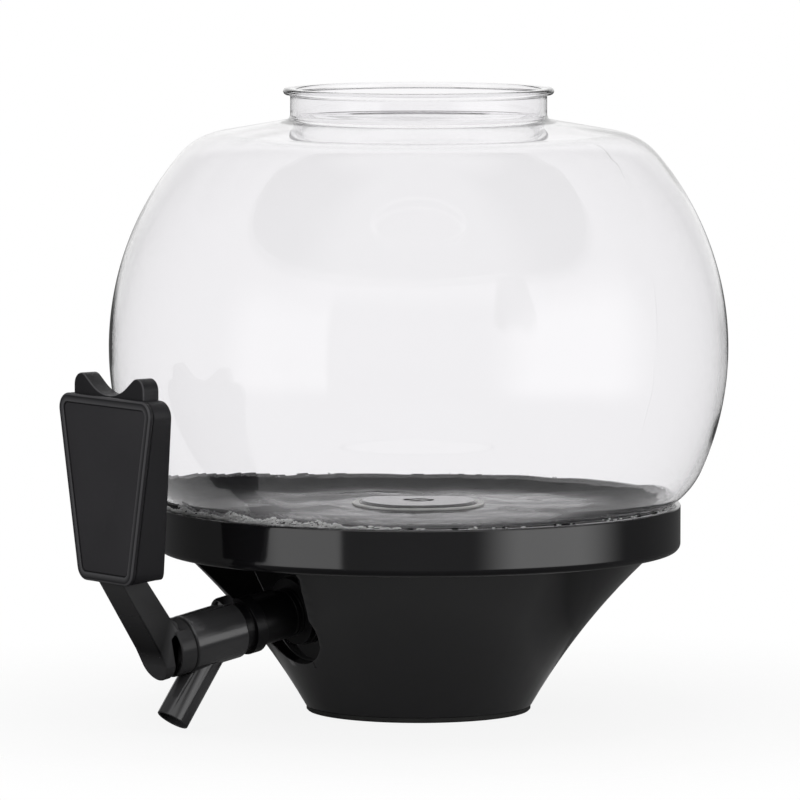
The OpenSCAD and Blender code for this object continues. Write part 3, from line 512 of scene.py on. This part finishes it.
# %% Collar tray
LIP_WIDE, SHELF_WIDE, COLLAR_ROUND = 2.6, 9.5, 3.0
COLLAR_R = HEEL_X + math.sqrt(HEEL_R ** 2 - (HEEL_R - 4.8) ** 2) + 0.65 + LIP_WIDE
COLLAR_Z, COLLAR_TOP, DECK_Z, DECK_UNDER, DECK_HOLE = 59.8, 77.3, 71.5, 69.0, 21.0
inside_r, shelf_r, shelf_z = COLLAR_R - LIP_WIDE, COLLAR_R - SHELF_WIDE + 0.05, COLLAR_Z + 2.5
round_r = COLLAR_R - COLLAR_ROUND
ring = [(shelf_r, COLLAR_Z)] + line((shelf_r, COLLAR_Z), (round_r, COLLAR_Z), 4)
ring += arc(round_r, COLLAR_Z + COLLAR_ROUND, COLLAR_ROUND, -90, 0, 14)
ring += line((COLLAR_R, COLLAR_Z + COLLAR_ROUND), (COLLAR_R, COLLAR_TOP - 0.9), 10)
ring += arc(COLLAR_R - 0.9, COLLAR_TOP - 0.9, 0.9, 0, 90, 8)
ring += arc(inside_r + 0.5, COLLAR_TOP - 0.5, 0.5, 90, 180, 6)
ring += [(inside_r, DECK_Z + 0.4), (inside_r - 0.4, DECK_Z)]
ring += line((inside_r - 0.4, DECK_Z), (DECK_HOLE, DECK_Z), 16)
ring += [(DECK_HOLE, DECK_Z), (DECK_HOLE, DECK_UNDER), (inside_r, DECK_UNDER)]
ring += [(inside_r, shelf_z), (shelf_r, shelf_z)]
collar_turns = [i * 2 * math.pi / 320 for i in range(320)]
collar_mesh = turned("collar_black", ring, collar_turns)
collar = piece("collar_black", collar_mesh, gloss_black, "vessel", "black_gloss", "collar_tray")
collar.data.materials.append(deck_black)
for face in collar.data.polygons:
    within = face.center.xy.length < (inside_r + 0.1) * MM
    if within and COLLAR_Z + 5 < face.center.z / MM < COLLAR_TOP - 0.3:
        face.material_index = 1
print("collar radius in mm:", round(COLLAR_R, 2))


# %% [markdown]
# ## Softened edges
# Base, tap and lever keep the shape of their CAD solids, but no moulded edge is knife sharp. A copy of
# the solid is welded, its flat triangles are joined, and a bevel rounds every real edge. Where short
# edges meet, a bevel can throw a point far off; the nearest place on the solid takes it back. The
# bevel's own faces are marked for a painted highlight, a paler tone that the finish reads.


# %% Copies of solids with soft edges
def softened(name, source, mat, body, slot, width, angle=32):
    """A copy of a CAD node with its edges rounded by a width in mm."""
    bm = bmesh.new()
    bm.from_mesh(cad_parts[source].data)
    bmesh.ops.remove_doubles(bm, verts=bm.verts, dist=3e-6)
    bmesh.ops.dissolve_degenerate(bm, edges=bm.edges, dist=1e-6)
    solid = BVHTree.FromBMesh(bm)
    bmesh.ops.dissolve_limit(bm, angle_limit=math.radians(0.4), verts=bm.verts, edges=bm.edges)
    mesh = bpy.data.meshes.new(name)
    bm.to_mesh(mesh)
    bm.free()
    mesh.shade_smooth()
    mesh.set_sharp_from_angle(angle=math.radians(angle))
    work = linked(name + "_work", mesh)
    round_edges = work.modifiers.new("round_edges", "BEVEL")
    round_edges.width = width * MM
    round_edges.segments = 3
    round_edges.limit_method = "ANGLE"
    round_edges.angle_limit = math.radians(angle)
    round_edges.use_clamp_overlap = False
    round_edges.harden_normals = True
    done = evaluated_mesh(work, name)
    strays = 0
    for v in done.vertices:
        near, _, _, off = solid.find_nearest(v.co)
        if off > width * 0.45 * MM:
            v.co = near
            strays += 1
    # The bevel's small faces get a painted highlight through this attribute.
    glint = done.attributes.new("painted_edge_highlight", "FLOAT", "POINT")
    small = (width * 1.2 * MM) ** 2
    value = [0.0] * len(done.vertices)
    for face in done.polygons:
        if face.area < small and len(face.vertices) == 4:
            for v in face.vertices:
                value[v] = 1.0
    glint.data.foreach_set("value", value)
    print(name, "faces:", len(done.polygons), "points taken back:", strays)
    return piece(name, done, mat, body, slot, source)


softened("base_black", "base_cone", gloss_black, "vessel", "black_gloss", 0.45)
softened("tap_barrel", "tap_body", tap_black, "vessel", "tap_black", 0.35)
softened("tap_shank_black", "tap_shank", shank_shaded_black, "vessel", "tap_black", 0.2)
softened("lever_arm", "lever", arm_black, "lever_group", "lever_satin", 0.55)

# %% [markdown]
# ## Polished hub
# The hub of the lever shines like the barrel behind it, while its arm is satin. Both are one moulding,
# so one finish has to do both: the height of a point makes the shader smoother on the hub.

# %% Gloss by height on the lever
HUB_TOP, SATIN_FROM = 41, 50
tree = arm_black.node_tree
shader = tree.nodes["Principled BSDF"]
satin = shader.inputs["Roughness"].links[0].from_socket
height = add(tree, "ShaderNodeSeparateXYZ", Vector=object_place(tree)).outputs["Z"]
smoother = spread(tree, height, 0.38, 1.0, HUB_TOP * MM, SATIN_FROM * MM)
tree.links.new(maths(tree, "MULTIPLY", satin, smoother), shader.inputs["Roughness"])
print("lever is polished below", HUB_TOP, "mm and satin above", SATIN_FROM, "mm")

# %% [markdown]
# ## Paddle
# The paddle is what a hand holds and what the eye meets first. All its outlines are one trapezoid with
# round corners, moved inward by some distance, so each of its three pieces is a loft: rings of that
# outline at growing inset and depth. The insets follow quarter circles, which gives clean round edges
# that a bevel would not, and the two facing rounds between frame and back make the parting line.

# %% Rings of the paddle's outline
PADDLE_LOW, PADDLE_HIGH, PADDLE_ROUND, RIM_WIDTH = 56.7, 124.2, 5.5, 3.3
LOW_WIDE, HIGH_WIDE = 33.5, 60.4
PADDLE_FRONT = COLLAR_R - SHELF_WIDE + 19.8 + 34.2
FRAME_BACK = PADDLE_FRONT - 1.9


def paddle_outline(inset):
    """Points (across, height) of the trapezoid, moved inward."""
    lean = (HIGH_WIDE - LOW_WIDE) / 2 / (PADDLE_HIGH - PADDLE_LOW)
    slant = math.sqrt(1 + lean * lean)
    r = PADDLE_ROUND - inset
    z0, z1 = PADDLE_LOW + PADDLE_ROUND, PADDLE_HIGH - PADDLE_ROUND
    x0 = LOW_WIDE / 2 + (lean - slant) * PADDLE_ROUND
    x1 = HIGH_WIDE / 2 - (lean + slant) * PADDLE_ROUND
    side = math.degrees(math.atan(lean))
    low_arc, high_arc = arc(x0, z0, r, -90, -side, 10), arc(x1, z1, r, -side, 90, 14)
    right = low_arc + line(low_arc[-1], high_arc[0], 12) + high_arc
    left = [(-x, z) for x, z in reversed(right)]
    return right + line(right[-1], left[0], 10) + left + line(left[-1], right[0], 6)


def quarter(r, steps=5):
    """Pairs (inset, drop) of a quarter round, from the side to the face."""
    turns = [math.radians(90 * i / steps) for i in range(steps + 1)]
    return [(r - r * math.cos(t), r - r * math.sin(t)) for t in turns]


def lofted(name, rings, highlit=()):
    """Closed mesh through rings with the same number of points. The rings given by number get a painted edge
    highlight.
    """
    count = len(rings[0])
    faces = []
    for a in range(len(rings) - 1):
        for i in range(count):
            j = (i + 1) % count
            faces.append((a * count + i, a * count + j, (a + 1) * count + j, (a + 1) * count + i))
    faces += [tuple(range(count)), tuple(range((len(rings) - 1) * count, len(rings) * count))]
    mesh = solid_mesh(name, [p for ring in rings for p in ring], faces)
    if highlit:
        glint = mesh.attributes.new("painted_edge_highlight", "FLOAT", "POINT")
        for k in highlit:
            for i in range(count):
                glint.data[k * count + i].value = 1.0
    return mesh


def flat_ring(inset, out):
    """The outline moved inward, as a ring that lies so far out from the axis."""
    return [(x, -out, z) for x, z in paddle_outline(inset)]


print("points per ring:", len(paddle_outline(0)))

# %% Frame and inset panel
PANEL_GAP, PANEL_BACK, PANEL_SINK = 0.2, 0.8, 0.4
OUTER_ROUND, INNER_ROUND = range(9, 13), range(15, 18)
frame_rings = [flat_ring(inset, FRAME_BACK + drop) for inset, drop in reversed(quarter(0.45))]
frame_rings += [flat_ring(inset, PADDLE_FRONT - drop) for inset, drop in quarter(1.1, 8)]
frame_rings += [flat_ring(RIM_WIDTH - drop, PADDLE_FRONT - inset) for inset, drop in quarter(0.6)]
frame_rings += [flat_ring(RIM_WIDTH, PADDLE_FRONT - PANEL_BACK)]
# The outer and inner rounds of the rim get a painted highlight.
rim_mesh = lofted("paddle_rim", frame_rings, highlit=(*OUTER_ROUND, *INNER_ROUND))
piece("paddle_rim", rim_mesh, satin_black, "lever_group", "lever_satin", "paddle_frame")
panel_edge, panel_face = RIM_WIDTH + PANEL_GAP, PADDLE_FRONT - PANEL_SINK
panel_rings = [flat_ring(panel_edge, PADDLE_FRONT - PANEL_BACK)]
panel_rings += [flat_ring(panel_edge + inset, panel_face - drop) for inset, drop in quarter(0.3)]
panel_mesh = lofted("paddle_inset", panel_rings)
piece("paddle_inset", panel_mesh, panel_black, "lever_group", "panel_satin", "paddle_panel")
print("frame rings:", len(frame_rings), "panel rings:", len(panel_rings))


# %% [markdown]
# ## Back of the paddle
# The back is thicker at its lower end, so its rear face leans, and its underside rises towards the
# rear. Rings near the rear take their depth from that leaning face. Two screw wells are cut with a
# boolean, because they are plain round holes in a plain face. The crest is a second loft, through an
# outline of two round ears with a wide valley between them.


# %% Back of the paddle
REAR_LOW, REAR_HIGH, THICK_LOW, THICK_HIGH = 58.7, 125.2, 13.1, 7.8
WELL_R, WELL_HEIGHTS = 2.9, (85.05, 108.675)


def rear_face(z):
    """How far out from the axis the leaning rear face lies at a height."""
    return FRAME_BACK - THICK_LOW + (THICK_LOW - THICK_HIGH) * (z - REAR_LOW) / (REAR_HIGH - REAR_LOW)


def back_ring(inset, from_frame=None, from_rear=None):
    ring = []
    for x, z in paddle_outline(inset):
        out = rear_face(z) + from_rear if from_frame is None else FRAME_BACK - from_frame
        z = max(z, PADDLE_LOW + inset + 2 * (PADDLE_FRONT - out) / 15)
        ring.append((x, -(rear_face(z) + from_rear if from_frame is None else out), z))
    return ring


back_rings = [back_ring(inset, from_frame=drop) for inset, drop in reversed(quarter(0.6))]
back_rings += [back_ring(0, from_frame=2.5)]
back_rings += [back_ring(inset, from_rear=drop) for inset, drop in quarter(1.3, 6)]
back_work = linked("back_work", lofted("back_work", back_rings))
wells = []
for z in WELL_HEIGHTS:
    turns = [k * math.pi / 18 for k in range(36)]
    ring = [(WELL_R * math.cos(t), z + WELL_R * math.sin(t)) for t in turns]
    well = lofted("well", [[(x, -out, h) for x, h in ring] for out in (FRAME_BACK - 16, FRAME_BACK - 4)])
    wells.append(linked("well", well))
    cut = back_work.modifiers.new("well", "BOOLEAN")
    cut.operation, cut.object, cut.solver = "DIFFERENCE", wells[-1], "EXACT"
back_mesh = evaluated_mesh(back_work, "paddle_back")
for well in wells:
    bpy.data.objects.remove(well)
print("back faces with two wells:", len(back_mesh.polygons))

# %% Crest with two ears
EAR_R, VALLEY_R, CREST_HALF = 4.4, 19.29, 22.0
EAR_RISE, VALLEY_RISE, CREST_ROOT = 7.6, 0.5, PADDLE_HIGH - 5.5
CREST_FRONT, CREST_BACK, CREST_ROUND = FRAME_BACK - 0.3, FRAME_BACK - 7.3, 0.6
ear_x, ear_z = CREST_HALF - EAR_R, PADDLE_HIGH + EAR_RISE - EAR_R
valley_z = PADDLE_HIGH + VALLEY_RISE + VALLEY_R
flank = math.degrees(math.asin((EAR_R + VALLEY_R) / math.hypot(ear_x, valley_z - ear_z))
                     - math.atan2(valley_z - ear_z, ear_x))
ear_arc = arc(ear_x, ear_z, EAR_R, 0, 90 + flank, 16)
valley_arc = arc(0, valley_z, VALLEY_R, -90 + flank, -90, 10)
half = [(CREST_HALF, CREST_ROOT)] + line((CREST_HALF, CREST_ROOT), ear_arc[0], 6) + ear_arc
half += line(ear_arc[-1], valley_arc[0], 6) + valley_arc
crest = half + [(-x, z) for x, z in reversed(half[:-1])]


def crest_ring(inset, out):
    """The crest's outline moved inward along its own normals."""
    ring = []
    for i, (x, z) in enumerate(crest):
        before, after = crest[i - 1], crest[(i + 1) % len(crest)]
        along = Vector((after[0] - before[0], after[1] - before[1])).normalized()
        ring.append((x - along.y * inset, -out, z + along.x * inset))
    return ring


crest_rings = [crest_ring(inset, CREST_FRONT - drop) for inset, drop in reversed(quarter(CREST_ROUND))]
crest_rings += [crest_ring(inset, CREST_BACK + drop) for inset, drop in quarter(CREST_ROUND)]
merge_into(back_mesh, lofted("crest", crest_rings))
back_mesh.shade_smooth()
back_mesh.set_sharp_from_angle(angle=math.radians(38))
# The crest's rounded front edge gets a painted highlight.
glint = back_mesh.attributes.new("painted_edge_highlight", "FLOAT", "POINT")
for v in back_mesh.vertices:
    behind = CREST_FRONT + v.co.y / MM
    glint.data[v.index].value = float(v.co.z / MM > PADDLE_HIGH + 0.1 and 0.05 < behind < 0.45)
piece("paddle_back", back_mesh, satin_black, "lever_group", "lever_satin", "paddle_body")
print("paddle back faces:", len(back_mesh.polygons), "crest points:", len(crest))

# %% [markdown]
# ## Sealant bead
# The globe is glued into the collar by hand. Most of the way round the sealant is a thin clean line, but
# near the tap it is ragged and smeared up the globe. Geometry Nodes suit it: a bead follows a circle, so
# a small profile is swept along that circle and noise pushes it about, more where the smear is. A second
# tree strews flat dabs along the same circle and lets them climb the heel of the globe there.


# %% Helpers for geometry trees
def new_tree(name, *inputs):
    tree = bpy.data.node_groups.new(name, "GeometryNodeTree")
    tree.interface.new_socket("Geometry", in_out="INPUT", socket_type="NodeSocketGeometry")
    for label, kind, value in inputs:
        made = tree.interface.new_socket(label, in_out="INPUT", socket_type=kind)
        if value is not None:
            made.default_value = value
    tree.interface.new_socket("Geometry", in_out="OUTPUT", socket_type="NodeSocketGeometry")
    return tree, tree.nodes.new("NodeGroupInput"), tree.nodes.new("NodeGroupOutput")


def smear_share(tree, smear_turn, low):
    """1 close to the smear's turn on the ring, falling to a low share away from it."""
    spot = tree.nodes.new("GeometryNodeInputPosition")
    parts = add(tree, "ShaderNodeSeparateXYZ", Vector=spot.outputs["Position"])
    turn = maths(tree, "ARCTAN2", parts.outputs["Y"], parts.outputs["X"])
    near = maths(tree, "COSINE", maths(tree, "SUBTRACT", turn, smear_turn))
    return spread(tree, near, low, 1.0, 0.62, 0.94)


def close_tree(tree, shape, finish, out):
    """Realize Instances and Set Material end each tree."""
    real = add(tree, "GeometryNodeRealizeInstances", Geometry=shape)
    smooth = add(tree, "GeometryNodeSetShadeSmooth", Geometry=real.outputs["Geometry"])
    dressed = add(tree, "GeometryNodeSetMaterial", Geometry=smooth.outputs["Geometry"], Material=finish)
    tree.links.new(dressed.outputs["Geometry"], out.inputs["Geometry"])


def plain_mesh(tree, name, **inputs):
    """Runs a tree on an empty mesh and returns the plain mesh that it makes."""
    carrier = linked(name, bpy.data.meshes.new(name))
    run_tree = carrier.modifiers.new("nodes", "NODES")
    run_tree.node_group = tree
    for item in tree.interface.items_tree:
        if item.in_out == "INPUT" and item.name in inputs:
            run_tree[item.identifier] = inputs[item.name]
    return evaluated_mesh(carrier, name)


SMEAR_TURN = math.radians(-91)
print("tree helpers ready, smear at a turn of", round(math.degrees(SMEAR_TURN)), "degrees")

# %% Swept bead
bead_tree, put, out = new_tree(
    "swept_bead",
    ("Ring Radius", "NodeSocketFloat", 94.5 * MM),
    ("Bead Radius", "NodeSocketFloat", 0.75 * MM),
    ("Height", "NodeSocketFloat", 77.1 * MM),
    ("Sink", "NodeSocketFloat", 0.8 * MM),
    ("Raggedness", "NodeSocketFloat", 1.8 * MM),
    ("Smear Turn", "NodeSocketFloat", 0.0),
    ("Finish", "NodeSocketMaterial", None),
)
path = add(bead_tree, "GeometryNodeCurvePrimitiveCircle", Resolution=900, Radius=put.outputs["Ring Radius"])
profile = add(bead_tree, "GeometryNodeCurvePrimitiveCircle", Resolution=12, Radius=put.outputs["Bead Radius"])
swept = add(bead_tree, "GeometryNodeCurveToMesh", Curve=path.outputs["Curve"],
            Profile_Curve=profile.outputs["Curve"])
here = smear_share(bead_tree, put.outputs["Smear Turn"], 0.1)
sunk = maths(bead_tree, "MULTIPLY", maths(bead_tree, "SUBTRACT", here, 1.0), put.outputs["Sink"])
raise_by = add(bead_tree, "ShaderNodeCombineXYZ", Z=maths(bead_tree, "ADD", put.outputs["Height"], sunk))
ragged = add(bead_tree, "ShaderNodeTexNoise", Scale=260.0, Detail=4.0)
centred = vectors(bead_tree, "SUBTRACT", ragged.outputs["Color"], (0.5, 0.5, 0.5))
how_far = maths(bead_tree, "MULTIPLY", here, put.outputs["Raggedness"])
push = vectors(bead_tree, "SCALE", centred, scale=how_far)
pushed = add(bead_tree, "GeometryNodeSetPosition", Geometry=swept.outputs["Mesh"],
             Offset=vectors(bead_tree, "ADD", raise_by.outputs["Vector"], push))
close_tree(bead_tree, pushed.outputs["Geometry"], put.outputs["Finish"], out)
bead_mesh = plain_mesh(bead_tree, "sealant_ragged", **{"Smear Turn": SMEAR_TURN, "Finish": sealant})
print("bead faces:", len(bead_mesh.polygons))

# %% Smeared dabs
dab_tree, put, out = new_tree(
    "smeared_dabs",
    ("Ring Radius", "NodeSocketFloat", 94.4 * MM),
    ("Height", "NodeSocketFloat", 77.3 * MM),
    ("Climb", "NodeSocketFloat", 4.2 * MM),
    ("Dab Size", "NodeSocketFloat", 0.55 * MM),
    ("Smear Turn", "NodeSocketFloat", 0.0),
    ("Count", "NodeSocketInt", 6000),
    ("Seed", "NodeSocketInt", 5),
    ("Finish", "NodeSocketMaterial", None),
)
path = add(dab_tree, "GeometryNodeCurvePrimitiveCircle", Resolution=720, Radius=put.outputs["Ring Radius"])
spots = add(dab_tree, "GeometryNodeCurveToPoints", Curve=path.outputs["Curve"], Count=put.outputs["Count"])
here = smear_share(dab_tree, put.outputs["Smear Turn"], 0.0)
kept = maths(dab_tree, "MAXIMUM", maths(dab_tree, "MULTIPLY", here, 0.8), 0.015)
keep_chance = add(dab_tree, "FunctionNodeRandomValue", Seed=maths(dab_tree, "ADD", put.outputs["Seed"], 2.0))
chance = add(dab_tree, "FunctionNodeRandomValue", Seed=put.outputs["Seed"])
patchy = add(dab_tree, "ShaderNodeTexNoise", Scale=95.0, Detail=2.0)
patchiness = spread(dab_tree, patchy.outputs["Fac"], 0.12, 1.0, 0.35, 0.68)
reach = maths(dab_tree, "MULTIPLY", maths(dab_tree, "MAXIMUM", here, 0.2), put.outputs["Climb"])
climb = maths(dab_tree, "MULTIPLY", maths(dab_tree, "MULTIPLY", chance.outputs[1], patchiness), reach)
bulge = maths(dab_tree, "SUBTRACT", maths(dab_tree, "MULTIPLY", climb, 1.55),
              maths(dab_tree, "MULTIPLY", maths(dab_tree, "MULTIPLY", climb, climb), 75.0))
spot = dab_tree.nodes.new("GeometryNodeInputPosition")
outward = vectors(dab_tree, "NORMALIZE", spot.outputs["Position"])
lifted = add(dab_tree, "ShaderNodeCombineXYZ", Z=maths(dab_tree, "ADD", climb, put.outputs["Height"]))
shift = vectors(dab_tree, "ADD", vectors(dab_tree, "SCALE", outward, scale=bulge), lifted.outputs["Vector"])
placed = add(dab_tree, "GeometryNodeSetPosition", Geometry=spots.outputs["Points"], Offset=shift)
blob = add(dab_tree, "GeometryNodeMeshIcoSphere", Radius=put.outputs["Dab Size"], Subdivisions=1)
size_chance = add(dab_tree, "FunctionNodeRandomValue", Seed=maths(dab_tree, "ADD", put.outputs["Seed"], 1.0))
size_chance.data_type = "FLOAT_VECTOR"
size_chance.inputs[0].default_value = (0.3, 0.6, 0.3)
size_chance.inputs[1].default_value = (0.8, 2.4, 0.9)
aim_at = add(dab_tree, "FunctionNodeAlignEulerToVector", axis="X", Vector=outward)
strewn = add(dab_tree, "GeometryNodeInstanceOnPoints", Points=placed.outputs["Geometry"],
             Instance=blob.outputs["Mesh"],
             Selection=maths(dab_tree, "LESS_THAN", keep_chance.outputs[1], kept),
             Rotation=aim_at.outputs["Rotation"], Scale=size_chance.outputs[0])
close_tree(dab_tree, strewn.outputs["Instances"], put.outputs["Finish"], out)
dab_mesh = plain_mesh(dab_tree, "dabs", **{"Smear Turn": SMEAR_TURN, "Finish": sealant})
merge_into(bead_mesh, dab_mesh)
piece("sealant_ragged", bead_mesh, sealant, "vessel", "clear_rubber", "sealant_bead")
print("dab faces:", len(dab_mesh.polygons))

# %% [markdown]
# ## Light
# The photograph has two tall soft boxes, one on each side of the camera: they show as the two pale
# bands on the collar and as two faint bright patches in the globe. Between them the room is dim, and
# that is why black plastic reads as black, while the white backdrop and ceiling keep the globe's neck
# and shoulder pale. Mirrors see all of these as soft-edged patches painted in the world by direction,
# and lamps at the places of the boxes give the even light on dull surfaces.


# %% Lamps
LAMP_AIM = Vector((0, 0, 0.12))


def soft_box(name, turn, far, height, wide, tall, radiance):
    """An area lamp at a turn from the camera, in degrees to the right, that mirrors do not see."""
    lamp = bpy.data.lights.new(name, "AREA")
    lamp.shape = "RECTANGLE"
    lamp.size, lamp.size_y = wide, tall
    lamp.energy = radiance * math.pi * wide * tall
    made = linked(name, lamp)
    made.location = around(VIEW_TURN + math.radians(turn), far, height)
    made.rotation_euler = (LAMP_AIM - made.location).to_track_quat("-Z", "Y").to_euler()
    made.visible_glossy = False
    made.visible_transmission = False
    return made


lamps = [
    soft_box("soft_box_left", -47, 1.9, 0.42, 0.85, 1.3, 2.0),
    soft_box("soft_box_right", 62, 1.9, 0.42, 1.3, 1.3, 1.8),
    soft_box("soft_box_top", 150, 1.2, 1.9, 1.6, 1.6, 0.9),
]
print("lamps:", [lamp.name for lamp in lamps])

# %% World with soft patches
DULL_LEVEL = 0.42
world = bpy.data.worlds.new("room")
bpy.context.scene.world = world
world.use_nodes = True
tree = world.node_tree
back = tree.nodes["Background"]
back.inputs["Color"].default_value = (1, 1, 1, 1)
heading = tree.nodes.new("ShaderNodeTexCoord")


def along(direction):
    return vectors(tree, "DOT_PRODUCT", heading.outputs["Generated"], direction, result="Value")


def step(value, start, end, low=0.0, high=1.0):
    """Smooth step between two angles in degrees."""
    made = add(tree, "ShaderNodeMapRange", interpolation_type="SMOOTHSTEP", Value=value,
               From_Min=math.radians(start), From_Max=math.radians(end), To_Min=low, To_Max=high)
    return made.outputs["Result"]


def ray_kinds(tree):
    """1 for rays that mirror, and 1 for rays that come straight or through clear plastic."""
    rays = tree.nodes.new("ShaderNodeLightPath").outputs
    return rays["Is Glossy Ray"], maths(tree, "MAXIMUM", rays["Is Camera Ray"], rays["Is Transmission Ray"])


side_turn = maths(tree, "ARCTAN2", along(to_right), along(around(VIEW_TURN, 1, 0)))
rise = maths(tree, "ARCSINE", along((0, 0, 1)))
turned_away = maths(tree, "ABSOLUTE", side_turn)


def patch(wide_in, wide_out, tall_in, tall_out):
    """A soft-edged bright patch. Its strength is in one of the four steps."""
    across = maths(tree, "MULTIPLY", wide_in, wide_out)
    return maths(tree, "MULTIPLY", across, maths(tree, "MULTIPLY", tall_in, tall_out))


left_patch = patch(step(side_turn, -82, -62), step(side_turn, -35.5, -32.5, 1.33, 0),
                   step(rise, -16, -8), step(rise, 10, 30, 1, 0))
right_patch = patch(step(side_turn, 22, 46), step(side_turn, 72, 104, 1.85, 0),
                    step(rise, -18, -9), step(rise, 10, 30, 1, 0))
patches = maths(tree, "ADD", left_patch, right_patch)
dim = step(turned_away, 50, 120, 0.21, 0.1)
backdrop = maths(tree, "MULTIPLY", step(turned_away, 140, 165), step(rise, -4, 1))
front_ceiling = maths(tree, "MULTIPLY", step(turned_away, 30, 62, 1.25, 0.2), step(rise, 13, 32))
ceiling = maths(tree, "MAXIMUM", front_ceiling, step(rise, 58, 78, 0, 1.25))
walls = maths(tree, "MAXIMUM", dim, maths(tree, "MAXIMUM", backdrop, ceiling))
room = maths(tree, "ADD", patches, walls)
mirrored, seen_white = ray_kinds(tree)
dull_or_mirror = mix(tree, mirrored, DULL_LEVEL, room)
tree.links.new(mix(tree, seen_white, dull_or_mirror, 1.0), back.inputs["Strength"])
print("world nodes:", len(tree.nodes))

# %% [markdown]
# ## Floor
# The floor is a pale disc that fades away before its edge, so mirrors see the soft patches past it and
# no hard rim. To the camera it is nearly white and keeps a little of the object's shadow. To mirrors it
# is pale only under the collar and dim further out and to the right, where the real table was in shade.
# A bright table would lay a veil over the lower globe and take the dark right side from the cone.

# %% Floor disc
FLOOR_R = 0.62
PALE_TO, DIM_FROM, PALE_RIGHT, DIM_RIGHT = 0.074, 0.1, 0.062, 0.086
rim = [around(k * math.pi / 64, FLOOR_R, 0) for k in range(128)]
floor_mesh = bpy.data.meshes.new("floor")
floor_mesh.from_pydata(rim, [], [tuple(range(128))])
floor = linked("floor", floor_mesh)
floor_mat, tree, shader = new_finish("pale_floor")
shader.inputs["Roughness"].default_value = 0.9
shader.inputs["Specular IOR Level"].default_value = 0.0
glow = tree.nodes.new("ShaderNodeEmission")
gone = tree.nodes.new("ShaderNodeBsdfTransparent")
_, seen_white = ray_kinds(tree)
where = object_place(tree)
far_out = vectors(tree, "LENGTH", where, result="Value")
to_side = vectors(tree, "DOT_PRODUCT", where, to_right, result="Value")


def blend(fac, first, second):
    made = add(tree, "ShaderNodeMixShader", Fac=fac)
    tree.links.new(first, made.inputs[1])
    tree.links.new(second, made.inputs[2])
    return made.outputs["Shader"]


dusk = maths(tree, "MINIMUM", spread(tree, to_side, 0.9, 0.22, PALE_RIGHT, DIM_RIGHT),
             spread(tree, far_out, 0.9, 0.2, PALE_TO, DIM_FROM))
tree.links.new(tint(tree, maths(tree, "MAXIMUM", dusk, seen_white), (0, 0, 0), (0.9, 0.9, 0.9), 0, 1),
               shader.inputs["Base Color"])
share = spread(tree, far_out, 0.88, 1.0, 0.1, 0.26)
pale = blend(maths(tree, "MULTIPLY", seen_white, share), shader.outputs["BSDF"], glow.outputs["Emission"])
faded = blend(spread(tree, far_out, 0, 1, 0.17, 0.45), pale, gone.outputs["BSDF"])
tree.links.new(faded, tree.nodes["Material Output"].inputs["Surface"])
floor_mesh.materials.append(floor_mat)
bpy.context.scene.view_settings.view_transform = "Standard"
print("floor disc across in m:", FLOOR_R * 2)
